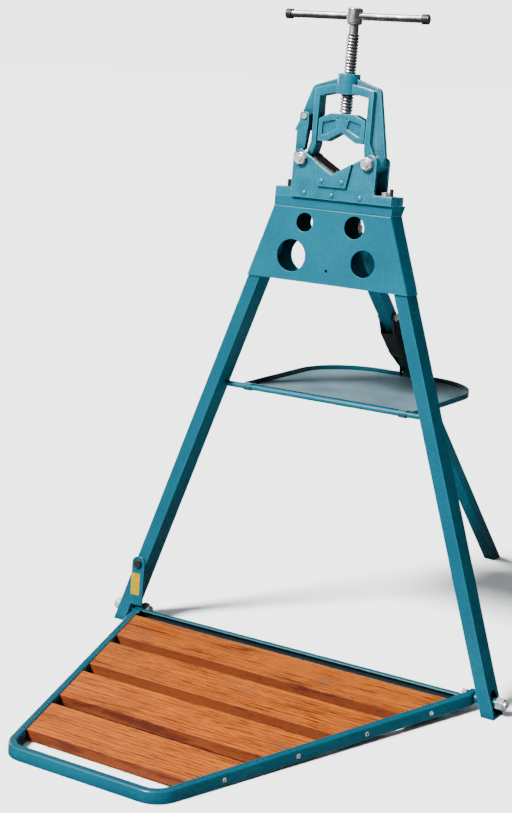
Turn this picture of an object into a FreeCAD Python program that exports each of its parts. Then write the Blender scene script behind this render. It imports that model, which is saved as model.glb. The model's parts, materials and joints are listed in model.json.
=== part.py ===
import FreeCAD, Part
import Sketcher
import os
import re

# Tripod pipe vise stand: two splayed front legs under a folded head, one folding rear leg,
# a hinged tray on the cross rod, a hinged foot board, and a yoke vise bolted on the head.
# Millimetres, Z up.  The origin is on the floor at the middle of the footprint.

SIZES = [
    # front frame
    ("lean_angle", 2.9, "backward lean of the front frame, degrees"),
    ("feet_width", 767, "outside width of the front feet on the floor"),
    ("legs_at_head", 216.786, "outside width of the front legs at the top of the head"),
    ("leg_face", 22, "front face of the leg tube"),
    ("leg_depth", 38, "side face of the leg tube"),
    ("leg_wall", 2, "wall of the leg tube"),
    ("leg_drop", 11, "leg ends below the top of the head"),
    ("notch_height", 44, "opening in the outer leg wall round the foot bolt"),
    ("notch_edge", 6, "tube left on each side of that opening"),
    ("foot_plate", 2.5, "floor plate of the leg tube"),
    ("rod_radius", 5, "cross rod"),
    ("rod_height", 467.5, "cross rod, up the frame"),
    ("rod_depth", 33, "cross rod, behind the front plane"),
    ("rod_entry", 8, "cross rod inside each leg"),
    # head
    ("sheet", 2.5, "folded sheet of the head"),
    ("head_top", 790, "upper edge of the head plate, up the frame"),
    ("head_height", 124.5, "height of the head plate"),
    ("flange_depth", 40, "side flanges of the head plate"),
    ("bend_radius", 3, "outside radius of the folds"),
    ("cap_height", 16, "seat of the vise above the head plate"),
    ("cap_depth", 50, "depth of the cap"),
    ("cap_setback", 1, "cap lip behind the front plate"),
    ("lip_depth", 12, "top fold of the head plate"),
    ("cap_taper", 10, "cap ends, taper towards the front plate"),
    ("rear_plate_height", 118, "height of the rear plate under the cap"),
    ("rear_plate_inset", 6.5, "rear plate inside the outline of the front plate"),
    ("pull_hole_radius", 3, "small hole under the bending holes"),
    ("pull_hole_drop", 102, "small hole below the top of the head"),
    ("hole_a_x", -48.9, "bending hole A across"),
    ("hole_a_drop", 25, "bending hole A below the top of the head"),
    ("hole_a_radius", 16, "bending hole A"),
    ("hole_b_x", 45.5, "bending hole B across"),
    ("hole_b_drop", 25, "bending hole B below the top of the head"),
    ("hole_b_radius", 18.7, "bending hole B"),
    ("hole_c_x", -70, "bending hole C across"),
    ("hole_c_drop", 82.5, "bending hole C below the top of the head"),
    ("hole_c_radius", 27.4, "bending hole C"),
    ("hole_d_x", 67.5, "bending hole D across"),
    ("hole_d_drop", 82.5, "bending hole D below the top of the head"),
    ("hole_d_radius", 22.7, "bending hole D"),
    # rear leg
    ("rear_angle", 44.5, "rear leg from the vertical, degrees"),
    ("rear_face", 23, "square rear leg tube"),
    ("rear_wall", 2, "wall of the rear leg tube"),
    ("rear_round", 11.4, "rounded upper end of the rear leg"),
    ("pivot_drop", 30, "rear leg pivot below the top of the head"),
    ("pivot_depth", 71, "rear leg pivot, behind the front plane"),
    ("pivot_radius", 5, "rear leg pivot bolt"),
    ("pivot_flats", 16, "rear leg pivot bolt, across the flats"),
    ("pivot_head", 5, "rear leg pivot bolt, head and nut height"),
    ("pivot_end", 6, "rear leg pivot bolt beyond the bracket"),
    ("bracket_wall", 3, "rear leg bracket"),
    ("bracket_height", 50, "rear leg bracket, back plate"),
    ("ear_height", 26, "rear leg bracket, ears"),
    ("ear_edge", 11, "bracket ear beyond the pivot"),
    ("ear_round", 10, "corner radius of the bracket ears"),
    ("arm_wall", 2.5, "tray arm sheet"),
    ("arm_bolt_up", 150.5, "tray arm bolt above the tray rim, along the leg"),
    ("arm_bolt_radius", 4, "tray arm bolt"),
    ("arm_bolt_flats", 13, "tray arm bolt, across the flats"),
    ("arm_bolt_head", 4, "tray arm bolt, head and nut height"),
    ("arm_cheek", 8, "half width of the tray arm at its bolt"),
    ("arm_web_up", 125.5, "tray arm web starts above the rim, along the leg"),
    ("arm_web_low", 42.5, "tray arm web ends above the rim, along the leg"),
    ("arm_chin", 27, "front edge of the arm cheeks ends above the web"),
    ("arm_reach", 10, "tray arm in front of the leg"),
    ("arm_nose", 8, "arm nose in front of the rim"),
    ("arm_nose_top", 10, "arm nose above the rim"),
    ("arm_nose_low", 6, "arm nose below the top of the rim"),
    ("arm_lip", 14, "arm over the rim, to the back"),
    ("arm_tail", 40, "arm below its web, along the leg"),
    # tray
    ("tray_side", 31.4, "tray to the inside of each leg"),
    ("tray_gap", 1.5, "rear rim to the rear leg"),
    ("tray_corner", 112, "rear corner radius of the tray"),
    ("tray_front", 8, "rod centre to the front rim"),
    ("tray_rim", 10, "height of the rim"),
    ("tray_drop", 5, "tray floor below the rod centre"),
    ("tray_sheet", 1.5, "tray sheet"),
    ("knuckle_inset", 14, "hook centre from the side of the tray"),
    ("knuckle_width", 14, "width of a hook"),
    ("knuckle_wall", 1.6, "hook wall"),
    ("knuckle_foot", 4.8, "hook foot behind the front rim"),
    # foot board
    ("hinge_height", 23.8, "foot board hinge, up the frame"),
    ("hinge_radius", 6, "foot board hinge bolt"),
    ("bar_width", 14, "foot board bar, across"),
    ("bar_height", 20, "foot board bar, up"),
    ("spacer_length", 10.2, "spacer between the foot board and the leg"),
    ("bar_side_angle", 18, "foot board side bars, degrees"),
    ("bar_bend", 14, "foot board, straight end in front of the hinge"),
    ("bar_tail", 11, "foot board, end behind the hinge"),
    ("board_reach", 624, "foot board, hinge to front edge"),
    ("bar_corner", 42, "foot board, outside corner radius"),
    ("bar_round", 3, "foot board bar, edge radius"),
    ("rear_bar_width", 24, "rear bar, front to back"),
    ("rear_bar_wall", 2, "rear bar sheet"),
    ("slat_first", 52, "first board, in front of the hinge"),
    ("slat_width", 102, "board width"),
    ("slat_last", 51, "gap between the last board and the front bar"),
    ("slat_count", 4, "number of boards"),
    ("slat_thickness", 17, "board thickness"),
    ("slat_sink", 1.5, "board top below the bar top"),
    ("spacer_radius", 8, "hinge spacers"),
    ("hinge_flats", 19, "hinge bolts, across the flats"),
    ("hinge_head", 8, "hinge bolts, head height"),
    ("hinge_nut", 12, "hinge nuts, length"),
    ("nut_stand", 15.3, "hinge nuts, outer face beyond the leg"),
    ("hinge_end", 3.5, "hinge bolts beyond their nuts"),
    # foot board latch
    ("catch_out", 3.1, "latch plate pivot beyond the middle of the leg"),
    ("catch_z", 114.7, "latch plate pivot up"),
    ("catch_half", 13.5, "half width of the latch plate"),
    ("catch_length", 78.2, "latch plate, pivot to lower edge"),
    ("catch_thickness", 3, "latch plate"),
    ("catch_bolt_radius", 3, "latch plate pivot"),
    ("catch_head", 7.2, "latch plate pivot, head radius"),
    ("catch_head_rise", 4, "latch plate pivot, head height"),
    ("catch_nut_flats", 10, "latch plate pivot, nut across the flats"),
    # vise, heights above its seat
    ("vise_axis", 20.5, "screw axis, behind the front plane"),
    ("vise_gap", 38, "between the vise plates"),
    ("vise_plate", 6, "vise plate thickness"),
    ("base_half", 111.5, "half width of the vise base"),
    ("base_height", 15, "height of the vise base"),
    ("base_bolt_x", 86, "base bolts across"),
    ("base_bolt_y", 22, "base bolts and pins, behind the front plane"),
    ("base_bolt_radius", 4, "base bolts"),
    ("base_bolt_flats", 13, "base bolt heads across the flats"),
    ("base_bolt_head", 6, "base bolt head height"),
    ("base_pin_x", 97.3, "dark pins across"),
    ("base_pin_radius", 3.2, "dark pins"),
    ("base_pin_height", 12, "dark pins above the base"),
    ("vise_half", 78.5, "half width of the vise plates"),
    ("vee_bottom", 42, "bottom of the lower vee"),
    ("vee_angle", 30, "slope of both vees, degrees"),
    ("ear_x", 66, "inner corner of the plate ears"),
    ("ear_drop", 8, "chamfer of the plate ears"),
    ("vise_bolt_x", 62.5, "vise bolts across"),
    ("vise_bolt_z", 64, "vise bolts up"),
    ("vise_bolt_radius", 6, "vise bolts"),
    ("vise_bolt_flats", 19, "vise bolts, across the flats"),
    ("vise_bolt_head", 8, "vise bolts, head height"),
    ("vise_nut", 10, "vise nuts, height"),
    ("vise_bolt_end", 12, "vise bolts beyond the rear plate"),
    ("sleeve_radius", 8, "sleeve on the latch bolt"),
    ("shield", 4.8, "shield plate thickness"),
    ("shield_bottom", 21, "lower edge of the shield"),
    ("shield_top_half", 35, "half width of the shield at the vee"),
    ("shield_low_half", 27, "half width of the shield at its lower edge"),
    ("rivet_head", 4.6, "vise rivet head radius"),
    ("rivet_rise", 2.2, "vise rivet head height"),
    ("base_rivet_pitch", 53, "spacing of the base rivets"),
    ("base_rivet_z", 7.5, "base rivets up"),
    ("shield_rivet_x", 19, "shield rivets across"),
    ("shield_rivet_z", 30, "shield rivets up"),
    ("seat_half", 46, "half width of the jaw seat"),
    ("jaw_insert", 9, "thickness of the toothed jaws"),
    ("jaw_proud", 1.5, "toothed jaws above the plate edge"),
    ("lower_jaw_start", 12, "lower jaws without their fingers, from the vee bottom"),
    ("lower_jaw_end", 49, "lower jaws, from the vee bottom along the slope"),
    ("finger_cross", 5, "jaw fingers beyond the vee bottom"),
    ("tooth_pitch", 3, "jaw teeth"),
    ("tooth_depth", 1.2, "jaw teeth"),
    # yoke
    ("guide_half", 45.7, "half width between the guides"),
    ("bead_width", 9, "front face of the guides"),
    ("bead_depth", 24, "guides, front to back"),
    ("web_depth", 8, "outer web of the yoke"),
    ("guide_foot", 89, "lower end of the straight guides"),
    ("arch_corner_z", 169, "underside of the arch at the guides"),
    ("arch_rise", 8, "rise of the arch to the middle"),
    ("arch_depth", 12, "height of the arch bead"),
    ("web_shoulder_x", 62.8, "outer shoulder of the web"),
    ("web_shoulder_z", 185, "outer shoulder of the web"),
    ("web_foot_x", 82, "outer edge of the web at the hinge"),
    ("web_foot_z", 78, "outer edge of the web at the hinge"),
    ("web_crown", 198.5, "top of the web at the boss"),
    ("eye_radius", 14, "hinge eye of the yoke"),
    ("boss_radius", 19, "screw boss"),
    ("boss_bottom", 173, "screw boss, lower face"),
    ("boss_top", 206.5, "screw boss, upper face"),
    ("eye_depth", 37, "hinge eye, front to back"),
    ("toe_start", 50.7, "toe of the left guide, inner corner"),
    ("toe_end", 60.5, "toe of the left guide, outer end"),
    # latch hook
    ("hook_x", -68.7, "latch hook pivot across"),
    ("hook_z", 133, "latch hook pivot up"),
    ("hook_thickness", 12, "latch hook"),
    ("hook_pin_radius", 3, "latch hook rivet"),
    ("hook_head", 5, "latch hook rivet, head radius"),
    ("hook_round", 10, "yoke corners at the latch hook"),
    ("hook_corner", 5, "latch hook, top corners"),
    ("hook_mouth_round", 1.5, "latch hook, mouth corners"),
    ("hook_step", 2, "latch hook, shank behind the face of its head"),
    ("hook_half", 8.5, "latch hook, half width at the rivet"),
    ("hook_top", 7, "latch hook above its rivet"),
    ("hook_shoulder", 16.5, "latch hook, corner of the head to the left"),
    ("hook_shoulder_low", 23, "latch hook, that corner below the rivet"),
    ("hook_neck_low", 14, "latch hook, neck below the rivet"),
    ("hook_lap_low", 34.5, "latch hook, head below the rivet at its right edge"),
    ("hook_shank_left", 13.5, "latch hook, left edge of the shank"),
    ("hook_shank_low", 53, "latch hook, right edge of the shank ends below the rivet"),
    ("hook_shank_right", 3.7, "latch hook, right edge of the shank at its end"),
    ("mouth_side", 6, "latch hook, mouth to the left of the rivet"),
    ("mouth_top", 60, "latch hook, top of the mouth below the rivet"),
    ("mouth_low", 77, "latch hook, bottom of the mouth below the rivet"),
    ("tip_side", 2.1, "latch hook, tip to the left of the rivet"),
    ("tip_top", 80, "latch hook, tip below the rivet"),
    ("tip_low", 87, "latch hook, lower end below the rivet"),
    # upper jaw and screw
    ("jaw_half", 43.5, "half width of the upper jaw"),
    ("jaw_depth", 22, "upper jaw, front to back"),
    ("jaw_bottom", 95, "feet of the upper jaw"),
    ("jaw_apex", 111.5, "top of the upper vee"),
    ("jaw_shoulder", 131.5, "shoulders of the upper jaw"),
    ("jaw_top", 141.5, "crown of the upper jaw"),
    ("crown_round", 12, "rounded crown of the upper jaw"),
    ("jaw_pin_x", 8, "jaw pins across"),
    ("jaw_pin_z", 133.8, "jaw pins up"),
    ("jaw_pin_radius", 2, "jaw pins"),
    ("recess", 3, "depth of the cast recesses"),
    ("recess_edge", 7, "jaw left beside the recesses"),
    ("recess_foot", 8, "jaw left under the recesses at the sides"),
    ("recess_slope", 11, "jaw left over the vee, upright"),
    ("recess_side", 5.5, "jaw left above the recesses at the sides"),
    ("recess_roof", 9.5, "jaw left above the recesses at the rib"),
    ("recess_round", 3, "corners of the recesses"),
    ("rib_low", 9, "half width of the rib between the recesses at its foot"),
    ("rib_high", 13, "half width of that rib at its top"),
    ("screw_radius", 11, "thread, outside"),
    ("screw_top", 270, "upper end of the thread"),
    ("screw_bottom", 143.5, "lower end of the thread"),
    ("neck_radius", 8.5, "plain neck"),
    ("stub_radius", 8, "spindle end in the jaw"),
    ("stub_bottom", 128.5, "spindle end"),
    ("head_radius", 13.3, "spindle head"),
    ("head_chamfer", 2, "chamfer of the spindle head"),
    ("head_low", 286, "spindle head, lower face"),
    ("head_high", 312, "spindle head, upper face"),
    ("bar_radius", 6, "tommy bar"),
    ("bar_length", 262, "tommy bar"),
    ("bar_shift", 3.5, "tommy bar, pushed to the right"),
    ("knob_radius", 8.2, "tommy bar end rings"),
    ("knob_length", 10, "tommy bar end rings"),
    # clearances
    ("hinge_play", 0.06, "radial play of a hinge pin"),
    ("loose_play", 0.3, "space between moving pieces"),
    ("hole_play", 0.2, "radial space round a fixed pin"),
    ("nut_play", 0.1, "radial space round a bolt in its nut"),
    ("over", 1, "overrun of a cut"),
    ("wall_cut", 7, "stretch of a hole through one leg wall, each way"),
]

doc = FreeCAD.newDocument("pipe_vise_stand")
sheet = doc.addObject("Spreadsheet::Sheet", "dims")
for row, (alias, value, note) in enumerate(SIZES, start=1):
    sheet.set(f"A{row}", note)
    sheet.set(f"B{row}", str(value))
    sheet.setAlias(f"B{row}", alias)
doc.recompute()

NAMES = {alias for alias, _, _ in SIZES}

# Sizes that follow from the driving ones.  Heights and depths in the leaning front frame are
# turned into upright ones where a piece stands on the floor or hangs level.
DERIVED = {
    "leg_splay": "atan((feet_width - legs_at_head) / (2 * head_top))",
    "leg_front": "sheet",
    "leg_middle": "leg_front + leg_depth / 2",
    "leg_top": "head_top - leg_drop",
    "head_bottom": "head_top - head_height",
    "cap_top": "head_top + cap_height",
    "rear_plate_bottom": "head_top - rear_plate_height",
    "pivot_height": "head_top - pivot_drop",
    "pivot_y": "pivot_depth * cos(lean_angle) + pivot_height * sin(lean_angle)",
    "pivot_z": "pivot_height * cos(lean_angle) - pivot_depth * sin(lean_angle)",
    "rod_y": "rod_depth * cos(lean_angle) + rod_height * sin(lean_angle)",
    "rod_z": "rod_height * cos(lean_angle) - rod_depth * sin(lean_angle)",
    "board_y": "leg_middle * cos(lean_angle) + hinge_height * sin(lean_angle)",
    "board_z": "hinge_height * cos(lean_angle) - leg_middle * sin(lean_angle)",
    "board_tilt": "asin((board_z - bar_height / 2) / (board_reach - bar_round))",
    "rear_reach": "pivot_y + rear_face / (2 * cos(rear_angle)) + pivot_z * tan(rear_angle)",
    "front_reach": "board_reach * cos(board_tilt) - board_y",
    "legs_y": "(front_reach - rear_reach) / 2",
    "rim_z": "rod_z - tray_drop + tray_rim",
    "tray_reach": "pivot_y + (pivot_z - rim_z) * tan(rear_angle)"
                  " - rear_face / (2 * cos(rear_angle)) - tray_gap - rod_y",
    "rim_back": "rod_y + tray_reach - pivot_y",
    "rim_up": "rim_z - pivot_z",
    "rim_down": "rim_back * sin(rear_angle) - rim_up * cos(rear_angle)",
    "arm_bolt_at": "rim_down - arm_bolt_up",
    "arm_web_top": "rim_down - arm_web_up",
    "arm_web_end": "rim_down - arm_web_low",
    "rear_plate_front": "cap_depth - sheet",
    "base_top": "base_height",
    "vise_front": "vise_axis - vise_gap / 2",
    "vise_back": "vise_axis + vise_gap / 2",
    "plate_front": "vise_front - vise_plate",
    "plate_back": "vise_back + vise_plate",
    "ear_top": "vee_bottom + ear_x * tan(vee_angle)",
    "seat_drop": "(jaw_insert - jaw_proud) / cos(vee_angle)",
    "finger_pitch": "(vise_gap - loose_play) / 4",
    "bar_up": "(head_low + head_high) / 2",
    "front_half": "bar_half_rear - (board_reach - bar_bend) * tan(bar_side_angle)",
    "leg_inner_hinge": "feet_width / 2 - leg_face / cos(leg_splay)"
                       " - (hinge_height + spacer_radius) * tan(leg_splay)",
    "leg_inner_rod": "feet_width / 2 - leg_face / cos(leg_splay) - rod_height * tan(leg_splay)",
    "bar_half_rear": "leg_inner_hinge - spacer_length - loose_play",
    "board_half_straight": "bar_half_rear - bar_width",
    "slat_pitch": "(board_reach - bar_width - slat_last - slat_width - slat_first) / (slat_count - 1)",
    "nut_outer": "feet_width / 2 - hinge_height * tan(leg_splay) + nut_stand",
    "bolt_outer": "nut_outer + hinge_end",
    "tray_half": "leg_inner_rod - tray_side",
    "knuckle_at": "tray_half - knuckle_inset",
    "catch_x": "-(feet_width / 2 - leg_face / (2 * cos(leg_splay)) - catch_z * tan(leg_splay)"
               " + catch_out)",
}


def link(text):
    def swap(match):
        word = match.group(0)
        if word in DERIVED:
            return "(" + link(DERIVED[word]) + ")"
        return "dims." + word if word in NAMES else word
    return re.sub(r"[a-z_][a-z0-9_]*", swap, str(text))


def size(alias):
    return float(sheet.get(alias))


# ---------------------------------------------------------------- document helpers

pieces = []
PLANES = {"plan": "XY_Plane", "front": "XZ_Plane", "side": "YZ_Plane"}


def new_body(name):
    body = doc.addObject("PartDesign::Body", name)
    body.Label = name
    pieces.append(body)
    return body


def new_sketch(body, view, level):
    sketch = body.newObject("Sketcher::SketchObject", "outline")
    role = PLANES[view]
    plane = [item for item in body.Origin.OriginFeatures if item.Role == role][0]
    sketch.AttachmentSupport = [(plane, "")]
    sketch.MapMode = "FlatFace"
    sketch.setExpression("AttachmentOffset.Base.z", link(level))
    return sketch


def pin_point(sketch, geometry, end, x, y):
    for kind, text in (("DistanceX", x), ("DistanceY", y)):
        index = sketch.addConstraint(Sketcher.Constraint(kind, -1, 1, geometry, end, 1.0))
        sketch.setExpression(f"Constraints[{index}]", link(text))


def draw_polygon(sketch, points):
    first = sketch.GeometryCount
    count = len(points)
    for place in range(count):
        start = FreeCAD.Vector(place, place * place, 0)
        after = (place + 1) % count
        end = FreeCAD.Vector(after, after * after, 0)
        sketch.addGeometry(Part.LineSegment(start, end), False)
    for place in range(count):
        after = first + (place + 1) % count
        sketch.addConstraint(Sketcher.Constraint("Coincident", first + place, 2, after, 1))
    for place, (x, y) in enumerate(points):
        pin_point(sketch, first + place, 1, x, y)


def draw_circle(sketch, x, y, radius):
    circle = Part.Circle(FreeCAD.Vector(1, 1, 0), FreeCAD.Vector(0, 0, 1), 1)
    geometry = sketch.addGeometry(circle, False)
    pin_point(sketch, geometry, 3, x, y)
    index = sketch.addConstraint(Sketcher.Constraint("Radius", geometry, 1.0))
    sketch.setExpression(f"Constraints[{index}]", link(radius))


def slab(body, kind, view, low, high, points, circles):
    # A front sketch faces -Y, so its slab starts from the far side.
    level = f"-({high})" if view == "front" else low
    sketch = new_sketch(body, view, level)
    if points:
        draw_polygon(sketch, points)
    for x, y, radius in circles:
        draw_circle(sketch, x, y, radius)
    before = body.Tip.Shape.Volume if body.Tip else 0
    feature = body.newObject(kind, "slab")
    feature.Profile = sketch
    feature.setExpression("Length", link(f"({high}) - ({low})"))
    feature.Reversed = kind == "PartDesign::Pocket"
    doc.recompute()
    change = feature.Shape.Volume - before
    if (change < 0) != (kind == "PartDesign::Pocket") or abs(change) < 1e-6:
        raise ValueError(f"{body.Label}: a slab changed nothing ({change:.3f})")
    return feature


def add(body, view, low, high, points=(), circles=()):
    return slab(body, "PartDesign::Pad", view, low, high, points, circles)


def cut(body, view, low, high, points=(), circles=()):
    return slab(body, "PartDesign::Pocket", view, low, high, points, circles)


def turn(body, level, points):
    # Revolves a half outline (radius, height) about the upright axis at this depth.
    sketch = new_sketch(body, "front", f"-({level})")
    draw_polygon(sketch, points)
    feature = body.newObject("PartDesign::Revolution", "turned")
    feature.Profile = sketch
    feature.ReferenceAxis = (sketch, ["V_Axis"])
    feature.Angle = 360
    doc.recompute()
    return feature


def fillet(body, names, radius):
    if not names:
        raise ValueError(f"{body.Label}: no edge to round")
    base = body.Tip
    feature = body.newObject("PartDesign::Fillet", "rounded")
    feature.Base = (base, names)
    feature.setExpression("Radius", link(radius))
    doc.recompute()


def round_corners(body, feature, corners, radius):
    # Rounds the edges that run along the slab through these corners of its outline.
    sketch = feature.Profile[0]
    normal = sketch.Placement.Rotation.multVec(FreeCAD.Vector(0, 0, 1))
    spots = [sketch.Placement.multVec(sketch.getPoint(corner, 1)) for corner in corners]
    names = []
    for number, edge in enumerate(body.Tip.Shape.Edges, start=1):
        start = edge.Vertexes[0].Point
        along = edge.Vertexes[-1].Point - start
        if edge.Curve.TypeId != "Part::GeomLine" or along.cross(normal).Length > 1e-6:
            continue
        if any((spot - start).cross(normal).Length < 1e-4 for spot in spots):
            names.append(f"Edge{number}")
    fillet(body, names, radius)


def round_edges(body, wanted, radius):
    names = [f"Edge{number}" for number, edge in enumerate(body.Tip.Shape.Edges, start=1)
             if wanted(edge)]
    fillet(body, names, radius)


def hollow(body, level, wall):
    # Opens the flat top at this level and leaves a wall all round inside.
    base = body.Tip
    names = [f"Face{number}" for number, face in enumerate(base.Shape.Faces, start=1)
             if abs(face.BoundBox.ZMin - level) < 1e-6 and abs(face.BoundBox.ZMax - level) < 1e-6]
    feature = body.newObject("PartDesign::Thickness", "hollow")
    feature.Base = (base, names)
    feature.Reversed = True
    feature.setExpression("Value", link(wall))
    doc.recompute()


AXES = {
    "across": FreeCAD.Rotation(FreeCAD.Vector(0, 1, 0), 90),
    "back": FreeCAD.Rotation(FreeCAD.Vector(1, 0, 0), -90),
    "up": FreeCAD.Rotation(),
}


def put(item, x, y, z, axis):
    item.Placement = FreeCAD.Placement(FreeCAD.Vector(), AXES[axis])
    for letter, text in zip("xyz", (x, y, z)):
        item.setExpression(f"Placement.Base.{letter}", link(text))
    return item


def rod(axis, x, y, z, radius, length):
    item = doc.addObject("Part::Cylinder", "rod")
    item.setExpression("Radius", link(radius))
    item.setExpression("Height", link(length))
    return put(item, x, y, z, axis)


def hexagon(axis, x, y, z, across_flats, length):
    item = doc.addObject("Part::Prism", "hexagon")
    item.Polygon = 6
    item.setExpression("Circumradius", link(f"({across_flats}) / (2 * cos(30))"))
    item.setExpression("Height", link(length))
    return put(item, x, y, z, axis)


def fused(name, items):
    if len(items) == 1:
        item = doc.addObject("Part::Compound", name)
        item.Links = items
    else:
        item = doc.addObject("Part::MultiFuse", name)
        item.Shapes = items
    item.Label = name
    pieces.append(item)
    return item


def pierced(name, solid, holes):
    item = doc.addObject("Part::Cut", name)
    item.Base = solid
    item.Tool = holes
    item.Label = name
    pieces.append(item)
    return item


def lean(item, height="0"):
    # Stands the piece in the front frame, which leans back over the feet.
    item.Placement = FreeCAD.Placement(FreeCAD.Vector(), FreeCAD.Rotation(FreeCAD.Vector(-1, 0, 0), 1))
    item.setExpression("Placement.Base.y", link(f"legs_y + {height} * sin(lean_angle)"))
    item.setExpression("Placement.Base.z", link(f"{height} * cos(lean_angle)"))
    item.setExpression("Placement.Rotation.Angle", link("lean_angle"))


def seat(item):
    # Stands a piece of the vise on its seat.
    lean(item, "cap_top")


def stand(item, y, z, angle):
    # Hangs the piece on its own hinge line, turned by an angle about X.
    item.Placement = FreeCAD.Placement(FreeCAD.Vector(), FreeCAD.Rotation(FreeCAD.Vector(1, 0, 0), 1))
    item.setExpression("Placement.Base.y", link(f"legs_y + {y}"))
    item.setExpression("Placement.Base.z", link(z))
    item.setExpression("Placement.Rotation.Angle", link(angle))


# ---------------------------------------------------------------- front frame

def leg_outer(height):
    return f"(feet_width / 2 - ({height}) * tan(leg_splay))"


def leg_inner(height):
    return f"({leg_outer(height)} - leg_face / cos(leg_splay))"


def front_leg(name, side):
    leg = new_body(name)
    wall = "leg_wall / cos(leg_splay)"
    back = "leg_front + leg_depth"
    add(leg, "front", "leg_front", back, [
        (f"{side} * {leg_outer(0)}", 0),
        (f"{side} * {leg_inner(0)}", 0),
        (f"{side} * {leg_inner('leg_top')}", "leg_top"),
        (f"{side} * {leg_outer('leg_top')}", "leg_top"),
    ])
    cut(leg, "front", "leg_front + leg_wall", f"{back} - leg_wall", [
        (f"{side} * ({leg_outer('-over')} - {wall})", "-over"),
        (f"{side} * ({leg_inner('-over')} + {wall})", "-over"),
        (f"{side} * ({leg_inner('leg_top + over')} + {wall})", "leg_top + over"),
        (f"{side} * ({leg_outer('leg_top + over')} - {wall})", "leg_top + over"),
    ])
    cut_floor(leg, side)
    notch_half = "(leg_depth / 2 - notch_edge)"
    inside = f"({leg_outer('notch_height')} - {wall} - over)"
    low, high = span(side, inside, f"{leg_outer(0)} + over")
    cut(leg, "side", low, high, [
        (f"leg_middle - {notch_half}", "-over"),
        (f"leg_middle + {notch_half}", "-over"),
        (f"leg_middle + {notch_half}", f"notch_height - {notch_half}"),
        (f"leg_middle - {notch_half}", f"notch_height - {notch_half}"),
    ])
    cut(leg, "side", low, high, circles=[("leg_middle", f"notch_height - {notch_half}", notch_half)])
    for depth, height, radius in (("leg_middle", "hinge_height", "hinge_radius"),
                                  ("rod_depth", "rod_height", "rod_radius")):
        low, high = span(side, f"{leg_inner(height)} - wall_cut", f"{leg_inner(height)} + wall_cut")
        cut(leg, "side", low, high, circles=[(depth, height, f"{radius} + hole_play")])
    if side < 0:
        cut(leg, "front", "leg_front - over", "leg_front + leg_wall + over",
            circles=[("catch_x", "catch_z", "catch_bolt_radius + hole_play")])
    lean(leg)


def span(side, near, far):
    # The stretch between two distances from the middle, on the right or on the left.
    return (near, far) if side > 0 else (f"-({far})", f"-({near})")


def cut_floor(body, side):
    # The floor is level, so it crosses the leaning leg at a slant.
    low, high = span(side, f"{leg_inner(0)} - over", f"{leg_outer(0)} + over")
    back = "(leg_front + leg_depth + over)"
    cut(body, "side", low, high, [
        (0, 0),
        (back, f"{back} * tan(lean_angle)"),
        (back, f"-{back}"),
        (0, f"-{back}"),
    ])


def foot_plate(name, side):
    plate = new_body(name)
    wall = "leg_wall / cos(leg_splay)"
    top = "(foot_plate + leg_middle * tan(lean_angle))"
    add(plate, "front", "leg_middle - (leg_depth / 2 - notch_edge)",
        "leg_middle + (leg_depth / 2 - notch_edge)", [
            (f"{side} * {leg_outer(0)}", 0),
            (f"{side} * ({leg_inner(0)} + {wall})", 0),
            (f"{side} * ({leg_inner(top)} + {wall})", top),
            (f"{side} * {leg_outer(top)}", top),
        ])
    cut_floor(plate, side)
    lean(plate)


def cross_rod():
    half = f"({leg_inner('rod_height')} + rod_entry)"
    bar = rod("across", f"-{half}", "rod_depth", "rod_height", "rod_radius", f"2 * {half}")
    lean(fused("cross_rod", [bar]))


# ---------------------------------------------------------------- head

def plate_half(height):
    # The head plate's folds lie on the outside of the legs.
    return f"({leg_outer(height)} + sheet / cos(leg_splay))"


def head_holes():
    return [(f"hole_{key}_x", f"head_top - hole_{key}_drop", f"hole_{key}_radius") for key in "abcd"]


def head_front_plate():
    plate = new_body("head_front_plate")
    add(plate, "front", 0, "flange_depth", [
        (f"-{plate_half('head_bottom')}", "head_bottom"),
        (plate_half("head_bottom"), "head_bottom"),
        (plate_half("head_top"), "head_top"),
        (f"-{plate_half('head_top')}", "head_top"),
    ])
    cut(plate, "front", "sheet", "flange_depth + over", [
        (f"-{leg_outer('head_bottom - over')}", "head_bottom - over"),
        (leg_outer("head_bottom - over"), "head_bottom - over"),
        (leg_outer("head_top - sheet"), "head_top - sheet"),
        (f"-{leg_outer('head_top - sheet')}", "head_top - sheet"),
    ])
    cut(plate, "front", "lip_depth", "flange_depth + over", [
        (f"-{leg_outer('head_top - 2 * sheet')}", "head_top - 2 * sheet"),
        (leg_outer("head_top - 2 * sheet"), "head_top - 2 * sheet"),
        (leg_outer("head_top + over"), "head_top + over"),
        (f"-{leg_outer('head_top + over')}", "head_top + over"),
    ])
    cut(plate, "front", "-over", "sheet + over",
        circles=head_holes() + [(0, "head_top - pull_hole_drop", "pull_hole_radius")])
    low = size("head_top") - size("head_height") + 1
    round_edges(plate, lambda edge: len(edge.Vertexes) == 2
                and all(abs(vertex.Y) < 1e-6 for vertex in edge.Vertexes)
                and edge.BoundBox.ZMax > low, "bend_radius")
    lean(plate)


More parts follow.
